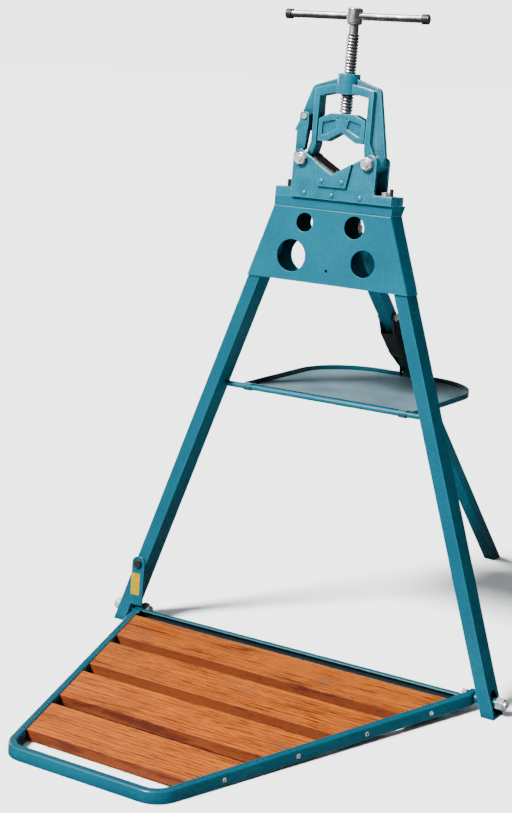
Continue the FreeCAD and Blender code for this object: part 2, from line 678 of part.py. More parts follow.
def head_rear_plate():
    plate = new_body("head_rear_plate")
    half = plate_half("head_top")
    lip = "cap_setback"
    add(plate, "side", f"-{half}", half, [
        (lip, "head_top"),
        (lip, "cap_top"),
        ("cap_depth", "cap_top"),
        ("cap_depth", "head_top"),
        ("cap_depth - cap_taper", "head_top"),
    ])
    cut(plate, "side", f"-({half} - sheet)", f"{half} - sheet", [
        (f"{lip} + sheet", "head_top - over"),
        (f"{lip} + sheet", "cap_top - sheet"),
        ("cap_depth - sheet", "cap_top - sheet"),
        ("cap_depth - sheet", "head_top - over"),
    ])
    for side in (-1, 1):
        low, high = span(side, f"{half} - 2 * sheet", f"{half} + over")
        cut(plate, "side", low, high, [
            ("cap_depth + over", "cap_top"),
            ("cap_depth + over", "head_top - over"),
            ("cap_depth - cap_taper - over", "head_top - over"),
            ("cap_depth", "cap_top"),
        ])
    add(plate, "front", "rear_plate_front", "cap_depth", [
        (f"-({plate_half('rear_plate_bottom')} - rear_plate_inset)", "rear_plate_bottom"),
        (f"{plate_half('rear_plate_bottom')} - rear_plate_inset", "rear_plate_bottom"),
        (f"{half} - rear_plate_inset", "head_top"),
        (f"{half} - rear_plate_inset", "cap_top"),
        (f"-({half} - rear_plate_inset)", "cap_top"),
        (f"-({half} - rear_plate_inset)", "head_top"),
    ])
    cut(plate, "front", "rear_plate_front - over", "cap_depth + over", circles=head_holes())
    cut(plate, "plan", "cap_top - sheet - over", "cap_top + over",
        circles=[(f"{side} * base_bolt_x", "base_bolt_y", "base_bolt_radius + hole_play")
                 for side in (-1, 1)])
    lean(plate)


# ---------------------------------------------------------------- rear leg and its bracket

def rear_leg_bracket():
    bracket = new_body("rear_leg_bracket")
    half = "(rear_face / 2 + loose_play + bracket_wall)"
    low = "(pivot_height - ear_height / 2)"
    high = "(pivot_height + ear_height / 2)"
    ears = add(bracket, "side", f"-{half}", half, [
        ("cap_depth", "pivot_height - bracket_height / 2"),
        ("cap_depth + bracket_wall", "pivot_height - bracket_height / 2"),
        ("pivot_depth + ear_edge", low),
        ("pivot_depth + ear_edge", high),
        ("cap_depth + bracket_wall", "pivot_height + bracket_height / 2"),
        ("cap_depth", "pivot_height + bracket_height / 2"),
    ])
    round_corners(bracket, ears, [2, 3], "ear_round")
    inner = "rear_face / 2 + loose_play"
    cut(bracket, "side", f"-({inner})", inner, [
        ("cap_depth + bracket_wall", "pivot_height - bracket_height"),
        ("pivot_depth + 2 * ear_edge", "pivot_height - bracket_height"),
        ("pivot_depth + 2 * ear_edge", "pivot_height + bracket_height"),
        ("cap_depth + bracket_wall", "pivot_height + bracket_height"),
    ])
    cut(bracket, "side", f"-{half} - over", f"{half} + over",
        circles=[("pivot_depth", "pivot_height", "pivot_radius + hole_play")])
    lean(bracket)


def rear_leg_bolt():
    half = "(rear_face / 2 + loose_play + bracket_wall)"
    shank = rod("across", f"-{half}", "pivot_depth", "pivot_height", "pivot_radius",
                f"2 * {half} + pivot_end")
    head = hexagon("across", f"-{half} - pivot_head", "pivot_depth", "pivot_height",
                   "pivot_flats", "pivot_head")
    nut = hexagon("across", half, "pivot_depth", "pivot_height", "pivot_flats", "pivot_head")
    lean(fused("rear_leg_bolt", [shank, head, nut]))


def rear_leg():
    leg = new_body("rear_leg")
    half = "rear_face / 2"
    tube = add(leg, "side", f"-{half}", half, [
        (f"-{half}", half),
        (f"-{half}", f"({half} * sin(rear_angle) - pivot_z) / cos(rear_angle)"),
        (half, f"-({half} * sin(rear_angle) + pivot_z) / cos(rear_angle)"),
        (half, half),
    ])
    round_corners(leg, tube, [0, 3], "rear_round")
    inner = "(rear_face / 2 - rear_wall)"
    cut(leg, "plan", "-2 * pivot_z", "rear_face",
        [(f"-{inner}", f"-{inner}"), (inner, f"-{inner}"), (inner, inner), (f"-{inner}", inner)])
    cut(leg, "side", f"-{half} - over", f"{half} + over", circles=[
        (0, 0, "pivot_radius + hinge_play"),
        (0, "-arm_bolt_at", "arm_bolt_radius + hole_play"),
    ])
    stand(leg, "pivot_y", "pivot_z", "rear_angle")


def by_rim(back, up):
    # A point given from the top of the tray's rear rim, in the rear leg's own frame.
    across = f"(rim_back + {back})"
    height = f"(rim_up + {up})"
    return (f"{across} * cos(rear_angle) + {height} * sin(rear_angle)",
            f"{height} * cos(rear_angle) - {across} * sin(rear_angle)")


def tray_arm():
    arm = new_body("tray_arm")
    half = "(rear_face / 2 + hole_play + arm_wall)"
    front = "-(rear_face / 2 + arm_reach)"
    slot = "(tray_sheet + 2 * loose_play)"
    cheeks = add(arm, "side", f"-{half}", half, [
        ("arm_cheek", "arm_cheek - arm_bolt_at"),
        ("-arm_cheek", "arm_cheek - arm_bolt_at"),
        (front, "-arm_web_top"),
        (front, "-(arm_web_end - arm_chin)"),
        by_rim("(-arm_nose)", "arm_nose_top"),
        by_rim("(-arm_nose)", "(-arm_nose_low)"),
        by_rim(f"(-{slot})", "(-arm_nose_low)"),
        by_rim(f"(-{slot})", "loose_play"),
        by_rim("arm_lip", "loose_play"),
        ("arm_cheek", "-(arm_web_end + arm_tail)"),
    ])
    round_corners(arm, cheeks, [0, 1], "arm_cheek / 2")
    inner = "rear_face / 2 + hole_play"
    web = f"({front} + arm_wall)"
    cut(arm, "side", f"-({inner})", inner, [
        (f"2 * {front}", "0"),
        ("rear_face", "0"),
        ("rear_face", "-2 * arm_web_end"),
        (f"2 * {front}", "-2 * arm_web_end"),
        (f"2 * {front}", "-arm_web_end"),
        (web, "-arm_web_end"),
        (web, "-arm_web_top"),
        (f"2 * {front}", "-arm_web_top"),
    ])
    cut(arm, "side", f"-{half} - over", f"{half} + over",
        circles=[(0, "-arm_bolt_at", "arm_bolt_radius + hole_play")])
    stand(arm, "pivot_y", "pivot_z", "rear_angle")


def arm_bolt():
    half = "(rear_face / 2 + hole_play + arm_wall)"
    shank = rod("across", f"-{half}", 0, "-arm_bolt_at", "arm_bolt_radius", f"2 * {half}")
    head = hexagon("across", half, 0, "-arm_bolt_at", "arm_bolt_flats", "arm_bolt_head")
    nut = hexagon("across", f"-{half} - arm_bolt_head", 0, "-arm_bolt_at", "arm_bolt_flats",
                  "arm_bolt_head")
    stand(fused("arm_bolt", [shank, head, nut]), "pivot_y", "pivot_z", "rear_angle")


# ---------------------------------------------------------------- tray

def tray():
    pan = new_body("tray")
    floor = "-tray_drop"
    outside = add(pan, "plan", floor, f"{floor} + tray_rim", [
        ("-tray_half", "tray_front"),
        ("tray_half", "tray_front"),
        ("tray_half", "tray_reach"),
        ("-tray_half", "tray_reach"),
    ])
    round_corners(pan, outside, [2, 3], "tray_corner")
    hollow(pan, size("tray_rim") - size("tray_drop"), "tray_sheet")
    bore = "rod_radius + nut_play"
    outer = "(rod_radius + nut_play + knuckle_wall)"
    for side in (-1, 1):
        low, high = span(side, "knuckle_at - knuckle_width / 2", "knuckle_at + knuckle_width / 2")
        add(pan, "side", low, high, [
            (0, f"-{outer}"),
            ("tray_front + knuckle_foot", f"-{outer}"),
            ("tray_front + knuckle_foot", floor),
            (0, floor),
        ])
        add(pan, "side", low, high, circles=[(0, 0, outer)])
        cut(pan, "side", low, high, circles=[(0, 0, bore)])
    pan.Placement = FreeCAD.Placement()
    pan.setExpression("Placement.Base.y", link("legs_y + rod_y"))
    pan.setExpression("Placement.Base.z", link("rod_z"))


# ---------------------------------------------------------------- foot board

def board_edge(reach):
    # Half width of the foot board's outline in front of its bends.
    return f"(bar_half_rear - (({reach}) - bar_bend) * tan(bar_side_angle))"


def board_inside(reach):
    return f"({board_edge(reach)} - bar_width / cos(bar_side_angle))"


def footboard_frame():
    frame = new_body("footboard_frame")
    inner_bend = "(bar_bend - bar_width * tan(bar_side_angle / 2))"
    front_inside = "(board_reach - bar_width)"
    right = [
        ("board_half_straight", "bar_tail"),
        ("bar_half_rear", "bar_tail"),
        ("bar_half_rear", "-bar_bend"),
        ("front_half", "-board_reach"),
    ]
    left = [(f"-{x}", y) for x, y in reversed(right)]
    within = [
        ("-board_half_straight", f"-{inner_bend}"),
        (f"-{board_inside('board_reach - bar_width')}", f"-{front_inside}"),
        (board_inside("board_reach - bar_width"), f"-{front_inside}"),
        ("board_half_straight", f"-{inner_bend}"),
    ]
    bar = add(frame, "plan", "-bar_height / 2", "bar_height / 2", right + left + within)
    round_corners(frame, bar, [3, 4], "bar_corner")
    round_corners(frame, bar, [9, 10], "bar_corner - bar_width")
    height = size("bar_height") / 2
    round_edges(frame, lambda edge: abs(edge.CenterOfMass.z - height) < 1e-6
                and edge.CenterOfMass.y < size("bar_tail") - 1e-3, "bar_round")
    cut(frame, "side", "-bar_half_rear - over", "bar_half_rear + over",
        circles=[(0, 0, "hinge_radius + hinge_play")])
    stand(frame, "board_y", "board_z", "board_tilt")


def footboard_rear_bar():
    bar = new_body("footboard_rear_bar")
    far = "(bar_bend + rear_bar_width)"
    add(bar, "plan", "-bar_height / 2", "bar_height / 2 - slat_sink", [
        (f"-{board_inside('bar_bend')}", "-bar_bend"),
        (f"-{board_inside(far)}", f"-{far}"),
        (board_inside(far), f"-{far}"),
        (board_inside("bar_bend"), "-bar_bend"),
    ])
    cut(bar, "side", "-bar_half_rear", "bar_half_rear", [
        ("-(bar_bend + rear_bar_wall)", "-bar_height"),
        (f"-({far} - rear_bar_wall)", "-bar_height"),
        (f"-({far} - rear_bar_wall)", "bar_height / 2 - slat_sink - rear_bar_wall"),
        ("-(bar_bend + rear_bar_wall)", "bar_height / 2 - slat_sink - rear_bar_wall"),
    ])
    stand(bar, "board_y", "board_z", "board_tilt")


def board(count):
    slat = new_body(f"board_{count + 1}")
    near = f"(slat_first + {count} * slat_pitch)"
    far = f"({near} + slat_width)"
    top = "(bar_height / 2 - slat_sink)"
    add(slat, "plan", f"{top} - slat_thickness", top, [
        (f"-{board_inside(near)}", f"-{near}"),
        (f"-{board_inside(far)}", f"-{far}"),
        (board_inside(far), f"-{far}"),
        (board_inside(near), f"-{near}"),
    ])
    stand(slat, "board_y", "board_z", "board_tilt")


def hinge_bolts():
    shanks = []
    nuts = []
    spacers = []
    bores = []
    start = "(board_half_straight - loose_play - hinge_head)"
    inner = "(bar_half_rear + loose_play)"
    sleeve = f"({leg_inner('hinge_height - spacer_radius')} + leg_wall / cos(leg_splay))"
    nut_inner = "(nut_outer - hinge_nut)"
    for side in (-1, 1):
        def along(kind, low, high, *sizes):
            return kind("across", span(side, low, high)[0], "leg_middle", "hinge_height", *sizes,
                        f"({high}) - ({low})")
        shanks.append(along(rod, start, "bolt_outer", "hinge_radius"))
        shanks.append(along(hexagon, start, f"{start} + hinge_head", "hinge_flats"))
        nuts.append(along(hexagon, nut_inner, "nut_outer", "hinge_flats"))
        spacers.append(along(rod, inner, "leg_inner_hinge", "spacer_radius"))
        spacers.append(along(rod, sleeve, nut_inner, "spacer_radius"))
        bores.append(along(rod, start, "bolt_outer + over", "hinge_radius + nut_play"))
    lean(fused("hinge_bolts", shanks))
    tool = doc.addObject("Part::MultiFuse", "hinge_bores")
    tool.Shapes = bores
    for name, solids in (("hinge_nuts", nuts), ("hinge_spacers", spacers)):
        solid = doc.addObject("Part::MultiFuse", name + "_solid")
        solid.Shapes = solids
        lean(pierced(name, solid, tool))


def footboard_latch():
    plate = new_body("footboard_latch")
    front = "(leg_front - loose_play - catch_thickness)"
    back = "leg_front - loose_play"
    corner = "(catch_length * cos(asin(catch_half / catch_length)))"
    add(plate, "front", front, back, circles=[("catch_x", "catch_z", "catch_half")])
    add(plate, "front", front, back, [
        ("catch_x - catch_half", "catch_z"),
        ("catch_x + catch_half", "catch_z"),
        ("catch_x + catch_half", f"catch_z - {corner}"),
        ("catch_x + catch_half / 2",
         "catch_z - catch_length * cos(asin(catch_half / (2 * catch_length)))"),
        ("catch_x", "catch_z - catch_length"),
        ("catch_x - catch_half / 2",
         "catch_z - catch_length * cos(asin(catch_half / (2 * catch_length)))"),
        ("catch_x - catch_half", f"catch_z - {corner}"),
    ])
    cut(plate, "front", f"{front} - over", f"{back} + over",
        circles=[("catch_x", "catch_z", "catch_bolt_radius + hinge_play")])
    lean(plate)


def footboard_latch_bolt():
    front = "(leg_front - loose_play - catch_thickness - loose_play)"
    pin = rod("back", "catch_x", front, "catch_z", "catch_bolt_radius",
              f"leg_front + leg_wall + catch_head_rise - {front}")
    head = rod("back", "catch_x", f"{front} - catch_head_rise", "catch_z", "catch_head",
               "catch_head_rise")
    nut = hexagon("back", "catch_x", "leg_front + leg_wall", "catch_z", "catch_nut_flats",
                  "catch_head_rise")
    lean(fused("footboard_latch_bolt", [pin, head, nut]))


# ---------------------------------------------------------------- vise base

def vise_base():
    base = new_body("vise_base")
    add(base, "front", "vise_front", "vise_back", [
        ("-base_half", 0),
        ("base_half", 0),
        ("base_half", "base_top"),
        ("-base_half", "base_top"),
    ])
    cut(base, "plan", "-over", "base_top + over",
        circles=[(f"{side} * base_bolt_x", "base_bolt_y", "base_bolt_radius + hole_play")
                 for side in (-1, 1)])
    seat(base)


def base_bolts():
    solids = []
    for side in (-1, 1):
        x = f"{side} * base_bolt_x"
        under = "-(sheet + base_bolt_head)"
        solids.append(rod("up", x, "base_bolt_y", under, "base_bolt_radius",
                          f"base_top + 2 * base_bolt_head + sheet"))
        solids.append(hexagon("up", x, "base_bolt_y", "base_top", "base_bolt_flats", "base_bolt_head"))
        solids.append(hexagon("up", x, "base_bolt_y", under, "base_bolt_flats", "base_bolt_head"))
    seat(fused("base_bolts", solids))


def base_pins():
    seat(fused("base_pins", [
        rod("up", f"{side} * base_pin_x", "base_bolt_y", "base_top", "base_pin_radius",
            "base_pin_height") for side in (-1, 1)]))


def vise_plate(name, side, front, back):
    # Both plates are the same stamping: the rear one is turned round.
    plate = new_body(name)
    outline = add(plate, "front", front, back, [
        (f"-{side} * vise_half", 0),
        (f"{side} * base_half", 0),
        (f"{side} * base_half", "base_top"),
        (f"{side} * vise_half", "base_top"),
        (f"{side} * vise_half", "ear_top - ear_drop"),
        (f"{side} * ear_x", "ear_top"),
        (0, "vee_bottom"),
        (f"-{side} * ear_x", "ear_top"),
        (f"-{side} * vise_half", "ear_top - ear_drop"),
    ])
    round_corners(plate, outline, [4, 8], "ear_drop")
    round_corners(plate, outline, [3], "bend_radius")
    cut(plate, "front", f"{front} - over", f"{back} + over", circles=[
        (f"{place} * vise_bolt_x", "vise_bolt_z", "vise_bolt_radius + hole_play")
        for place in (-1, 1)])
    seat(plate)


def base_rivets():
    # The rivets are solid with the plates inside, so only their heads are pieces.
    heads = []
    for place in (-1, 0, 1):
        for face in ("plate_front - rivet_rise", "plate_back"):
            heads.append(rod("back", f"{place} * base_rivet_pitch", face, "base_rivet_z",
                             "rivet_head", "rivet_rise"))
    seat(fused("base_rivets", heads))


def shield_plate():
    shield = new_body("shield_plate")
    outline = add(shield, "front", "plate_front - shield", "plate_front", [
        ("-shield_low_half", "shield_bottom"),
        ("shield_low_half", "shield_bottom"),
        ("shield_top_half", "vee_bottom + shield_top_half * tan(vee_angle)"),
        (0, "vee_bottom"),
        ("-shield_top_half", "vee_bottom + shield_top_half * tan(vee_angle)"),
    ])
    round_corners(shield, outline, [0, 1], "bend_radius")
    seat(shield)


def shield_rivets():
    seat(fused("shield_rivets", [
        rod("back", f"{place} * shield_rivet_x", "plate_front - shield - rivet_rise",
            "shield_rivet_z", "rivet_head", "rivet_rise") for place in (-1, 1)]))


def jaw_seat():
    block = new_body("jaw_seat")
    rise = "seat_half * tan(vee_angle)"
    add(block, "front", "vise_front", "vise_back", [
        ("-seat_half", "base_top"),
        ("seat_half", "base_top"),
        ("seat_half", f"vee_bottom + {rise} - seat_drop"),
        (0, "vee_bottom - seat_drop"),
        ("-seat_half", f"vee_bottom + {rise} - seat_drop"),
    ])
    seat(block)


def lower_jaw(name, side, fingers):
    # The fingers of each jaw reach over the bottom of the vee, between those of the other one.
    jaw = new_body(name)
    top = "(vee_bottom + jaw_proud / cos(vee_angle))"
    rise = "finger_cross * tan(vee_angle)"
    thick = "jaw_insert / cos(vee_angle)"
    front = "vise_front + loose_play"
    back = "vise_back - loose_play"

    def spot(along, up):
        return (f"{side} * (({along}) * cos(vee_angle) - ({up}) * sin(vee_angle))",
                f"{top} + ({along}) * sin(vee_angle) + ({up}) * cos(vee_angle)")

    add(jaw, "front", front, back, [
        spot("lower_jaw_start", 0),
        spot("lower_jaw_end", 0),
        spot("lower_jaw_end", "-jaw_insert"),
        spot("lower_jaw_start", "-jaw_insert"),
    ])
    for finger in fingers:
        near = f"(vise_front + loose_play + {finger} * finger_pitch)"
        add(jaw, "front", near, f"{near} + finger_pitch - loose_play", [
            spot("lower_jaw_start", 0),
            (0, top),
            (f"-{side} * finger_cross", f"{top} + {rise}"),
            (f"-{side} * finger_cross", f"{top} + {rise} - {thick}"),
            (0, f"{top} - {thick}"),
            spot("lower_jaw_start", "-jaw_insert"),
        ])
    room = size("lower_jaw_end") - size("lower_jaw_start")
    for tooth in range(int(room / size("tooth_pitch"))):
        near = f"(lower_jaw_start + {tooth} * tooth_pitch)"
        cut(jaw, "front", f"{front} - over", f"{back} + over", [
            spot(near, "over"),
            spot(f"{near} + tooth_pitch / 2", "-tooth_depth"),
            spot(f"{near} + tooth_pitch", "over"),
        ])
    seat(jaw)


def vise_bolts():
    bolts = []
    nuts = []
    bores = []
    for side in (-1, 1):
        def along(kind, low, high, *sizes):
            return kind("back", f"{side} * vise_bolt_x", low, "vise_bolt_z", *sizes,
                        f"({high}) - ({low})")
        end = "plate_back + vise_bolt_end"
        bolts.append(along(rod, "plate_front - vise_bolt_head", end, "vise_bolt_radius"))
        bolts.append(along(hexagon, "plate_front - vise_bolt_head", "plate_front",
                           "vise_bolt_flats"))
        nuts.append(along(hexagon, "plate_back", "plate_back + vise_nut", "vise_bolt_flats"))
        bores.append(along(rod, "plate_front", f"{end} + over", "vise_bolt_radius + nut_play"))
    seat(fused("vise_bolts", bolts))
    solid = doc.addObject("Part::MultiFuse", "vise_nuts_solid")
    solid.Shapes = nuts
    tool = doc.addObject("Part::MultiFuse", "vise_nuts_bores")
    tool.Shapes = bores
    seat(pierced("vise_nuts", solid, tool))
    outer = rod("back", "-vise_bolt_x", "vise_front", "vise_bolt_z", "sleeve_radius", "vise_gap")
    bore = rod("back", "-vise_bolt_x", "vise_front - over", "vise_bolt_z",
               "vise_bolt_radius + nut_play", "vise_gap + 2 * over")
    seat(pierced("latch_sleeve", outer, bore))


# ---------------------------------------------------------------- yoke

def yoke():
    body = new_body("yoke")
    web_front = "vise_axis - web_depth / 2"
    web_back = "vise_axis + web_depth / 2"
    bead_front = "vise_axis - bead_depth / 2"
    bead_back = "vise_axis + bead_depth / 2"
    bead_half = "(guide_half + bead_width)"
    crown = "(arch_corner_z + arch_rise)"
    shoulder = "(arch_corner_z + arch_depth)"
    foot = "(vise_bolt_z + sleeve_radius + loose_play)"
    web = add(body, "front", web_front, web_back, [
        ("vise_bolt_x + eye_radius", "vise_bolt_z"),
        ("web_foot_x", "web_foot_z"),
        ("web_shoulder_x", "web_shoulder_z"),
        ("boss_radius", "web_crown"),
        ("-boss_radius", "web_crown"),
        ("-web_shoulder_x", "web_shoulder_z"),
        ("hook_x - hook_round", "hook_z + hook_round"),
        ("hook_x - hook_round", "hook_z - hook_round / 2"),
        ("hook_x + hook_round", "hook_z - 2.5 * hook_round"),
        (f"-{bead_half}", "guide_foot"),
        ("-guide_half", "guide_foot"),
        ("-guide_half", "arch_corner_z"),
        ("-boss_radius / 2", crown),
        ("boss_radius / 2", crown),
        ("guide_half", "arch_corner_z"),
        ("guide_half", "guide_foot"),
        ("vise_bolt_x - eye_radius", "vise_bolt_z"),
    ])
    round_corners(body, web, [2, 5], "hook_round")
    round_corners(body, web, [6], "hook_round / 2")
    add(body, "front", bead_front, bead_back, [
        ("vise_bolt_x - eye_radius", "vise_bolt_z + eye_radius / 2"),
        ("vise_bolt_x + eye_radius / 2", "vise_bolt_z + eye_radius / 2"),
        (bead_half, "guide_foot + bead_width"),
        (bead_half, shoulder),
        ("boss_radius", f"{shoulder} + arch_rise"),
        ("-boss_radius", f"{shoulder} + arch_rise"),
        (f"-{bead_half}", shoulder),
        (f"-{bead_half}", "guide_foot + bead_width / 2"),
        ("-toe_end", f"{foot} + bead_width / 2"),
        ("-toe_end", foot),
        ("-toe_start", foot),
        ("-guide_half", "guide_foot"),
        ("-guide_half", "arch_corner_z"),
        ("-boss_radius / 2", crown),
        ("boss_radius / 2", crown),
        ("guide_half", "arch_corner_z"),
        ("guide_half", "guide_foot"),
    ])
    add(body, "plan", "boss_bottom", "boss_top", circles=[(0, "vise_axis", "boss_radius")])
    add(body, "front", "vise_axis - eye_depth / 2", "vise_axis + eye_depth / 2",
        circles=[("vise_bolt_x", "vise_bolt_z", "eye_radius")])
    cut(body, "plan", "boss_bottom - over", "boss_top + over",
        circles=[(0, "vise_axis", "screw_radius + hinge_play")])
    cut(body, "front", "vise_front", "vise_back",
        circles=[("vise_bolt_x", "vise_bolt_z", "vise_bolt_radius + hinge_play")])
    cut(body, "front", bead_front, bead_back,
        circles=[("hook_x", "hook_z", "hook_pin_radius + hole_play")])
    seat(body)


def latch_hook():
    # The head laps over the shank, whose lower end hooks under the sleeve of the vise bolt.
    hook = new_body("latch_hook")
    back = "(vise_axis - web_depth / 2 - loose_play)"
    front = f"({back} - hook_thickness)"

    def spot(across, down):
        return f"hook_x + {across}", f"hook_z - {down}"

    shank = add(hook, "front", f"{front} + hook_step", back, [
        spot("hook_half", "(-hook_top)"),
        spot("hook_half", "hook_neck_low"),
        spot("hook_shank_right", "hook_shank_low"),
        spot("(-mouth_side)", "mouth_top"),
        spot("(-mouth_side)", "mouth_low"),
        spot("(-tip_side)", "tip_top"),
        spot("(-tip_side)", "tip_low"),
        spot("(-hook_shank_left)", "tip_low"),
        spot("(-hook_shank_left)", "hook_shoulder_low"),
        spot("(-hook_half)", "hook_neck_low"),
        spot("(-hook_half)", "(-hook_top)"),
    ])
    round_corners(hook, shank, [0, 10], "hook_corner")
    round_corners(hook, shank, [4, 7], "hook_mouth_round")
    lap = add(hook, "front", front, back, [
        spot("hook_half", "(-hook_top)"),
        spot("hook_half", "hook_neck_low"),
        spot("(hook_half - hook_corner / 2)", "hook_lap_low"),
        spot("(-hook_shoulder)", "hook_shoulder_low"),
        spot("(-hook_half)", "hook_neck_low / 2"),
        spot("(-hook_half)", "(-hook_top)"),
    ])
    round_corners(hook, lap, [0, 5], "hook_corner")
    cut(hook, "front", f"{front} - over", f"{back} + over",
        circles=[("hook_x", "hook_z", "hook_pin_radius + hinge_play")])
    seat(hook)


def hook_rivet():
    front = "(vise_axis - web_depth / 2 - 2 * loose_play - hook_thickness)"
    back = "(vise_axis + web_depth / 2)"
    seat(fused("hook_rivet", [
        rod("back", "hook_x", front, "hook_z", "hook_pin_radius", f"{back} - {front}"),
        rod("back", "hook_x", f"{front} - rivet_rise", "hook_z", "hook_head", "rivet_rise"),
    ]))


# ---------------------------------------------------------------- upper jaw and screw

def upper_jaw():
    jaw = new_body("upper_jaw")
    front = "(vise_axis - jaw_depth / 2)"
    back = "(vise_axis + jaw_depth / 2)"
    foot_inner = "(jaw_apex - jaw_bottom) / tan(vee_angle)"
    outline = add(jaw, "front", front, back, [
        ("-jaw_half", "jaw_bottom"),
        (f"-{foot_inner}", "jaw_bottom"),
        (0, "jaw_apex"),
        (foot_inner, "jaw_bottom"),
        ("jaw_half", "jaw_bottom"),
        ("jaw_half", "jaw_shoulder"),
        ("jaw_half / 2", "jaw_top"),
        ("-jaw_half / 2", "jaw_top"),
        ("-jaw_half", "jaw_shoulder"),
    ])
    round_corners(jaw, outline, [5, 8], "bend_radius")
    round_corners(jaw, outline, [6, 7], "crown_round")
    cut(jaw, "plan", "stub_bottom - hinge_play", "jaw_top + over",
        circles=[(0, "vise_axis", "stub_radius + hinge_play")])
    cut(jaw, "front", f"{front} - over", f"{back} + over", circles=[
        (f"{side} * jaw_pin_x", "jaw_pin_z", "jaw_pin_radius + hinge_play") for side in (-1, 1)])
    edge = "(jaw_half - recess_edge)"
    for side in (-1, 1):
        recess = cut(jaw, "front", f"{front} - over", f"{front} + recess", [
            (f"{side} * rib_low", "jaw_apex + recess_slope - rib_low * tan(vee_angle)"),
            (f"{side} * {edge}", "jaw_bottom + recess_foot"),
            (f"{side} * {edge}", "jaw_shoulder - recess_side"),
            (f"{side} * rib_high", "jaw_top - recess_roof"),
        ])
        round_corners(jaw, recess, [0, 1, 2, 3], "recess_round")
    seat(jaw)


def jaw_pins():
    front = "(vise_axis - jaw_depth / 2)"
    seat(fused("jaw_pins", [
        rod("back", f"{side} * jaw_pin_x", front, "jaw_pin_z", "jaw_pin_radius", "jaw_depth")
        for side in (-1, 1)]))


def spindle():
    body = new_body("spindle")
    groove = "(jaw_pin_x - jaw_pin_radius - loose_play)"
    turn(body, "vise_axis", [
        (0, "stub_bottom"),
        ("stub_radius", "stub_bottom"),
        ("stub_radius", "jaw_pin_z - jaw_pin_radius - loose_play"),
        (groove, "jaw_pin_z - jaw_pin_radius - loose_play"),
        (groove, "jaw_pin_z + jaw_pin_radius + loose_play"),
        ("stub_radius", "jaw_pin_z + jaw_pin_radius + loose_play"),
        ("stub_radius", "screw_bottom"),
        ("screw_radius", "screw_bottom"),
        ("screw_radius", "screw_top"),
        ("neck_radius", "screw_top"),
        ("neck_radius", "head_low"),
        ("head_radius - head_chamfer", "head_low"),
        ("head_radius", "head_low + head_chamfer"),
        ("head_radius", "head_high - head_chamfer"),
        ("head_radius - head_chamfer", "head_high"),
        (0, "head_high"),
    ])
    cut(body, "side", "-head_radius - over", "head_radius + over",
        circles=[("vise_axis", "bar_up", "bar_radius + hinge_play")])
    seat(body)


def tommy_bar():
    left = "(bar_shift - bar_length / 2)"
    seat(fused("tommy_bar", [rod("across", left, "vise_axis", "bar_up", "bar_radius", "bar_length")]))


def bar_rings():
    left = "(bar_shift - bar_length / 2)"
    right = "(bar_shift + bar_length / 2 - knob_length)"
    solids = doc.addObject("Part::MultiFuse", "bar_rings_solid")
    solids.Shapes = [rod("across", x, "vise_axis", "bar_up", "knob_radius", "knob_length")
                     for x in (left, right)]
    bore = rod("across", f"{left} - over", "vise_axis", "bar_up", "bar_radius",
               "bar_length + 2 * over")
    seat(pierced("bar_rings", solids, bore))


# ---------------------------------------------------------------- assembly

SIDES = (("left", -1), ("right", 1))

for word, sign in SIDES:
    front_leg(f"{word}_leg", sign)
    foot_plate(f"{word}_foot_plate", sign)
cross_rod()
head_front_plate()
head_rear_plate()
rear_leg_bracket()
rear_leg_bolt()
rear_leg()
tray_arm()
arm_bolt()
tray()
footboard_frame()
footboard_rear_bar()
for number in range(int(size("slat_count"))):
    board(number)
hinge_bolts()
footboard_latch()
footboard_latch_bolt()
vise_base()
base_bolts()
base_pins()
vise_plate("vise_front_plate", 1, "plate_front", "vise_front")
vise_plate("vise_rear_plate", -1, "vise_back", "plate_back")
base_rivets()
shield_plate()
shield_rivets()
jaw_seat()
lower_jaw("lower_jaw_left", -1, (0, 2))
lower_jaw("lower_jaw_right", 1, (1, 3))
vise_bolts()
yoke()
hook_rivet()
latch_hook()
upper_jaw()
jaw_pins()
spindle()
tommy_bar()
bar_rings()
doc.recompute()

for item in doc.Objects:
    if "Invalid" in item.State or "Error" in item.State:
        raise ValueError(f"{item.Name} failed")
for piece in pieces:
    if piece.Shape.isNull() or not piece.Shape.isValid():
        raise ValueError(f"{piece.Label} has no valid shape")

os.makedirs("parts", exist_ok=True)
for piece in pieces:
    piece.Shape.exportStep(f"parts/{piece.Label}.step")
box = Part.makeCompound([piece.Shape for piece in pieces]).BoundBox
print(f"{len(pieces)} pieces, {box.XLength:.1f} x {box.YLength:.1f} x {box.ZLength:.1f} mm")
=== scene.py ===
import json
import math
import bmesh
import bpy
from mathutils import Matrix, Vector

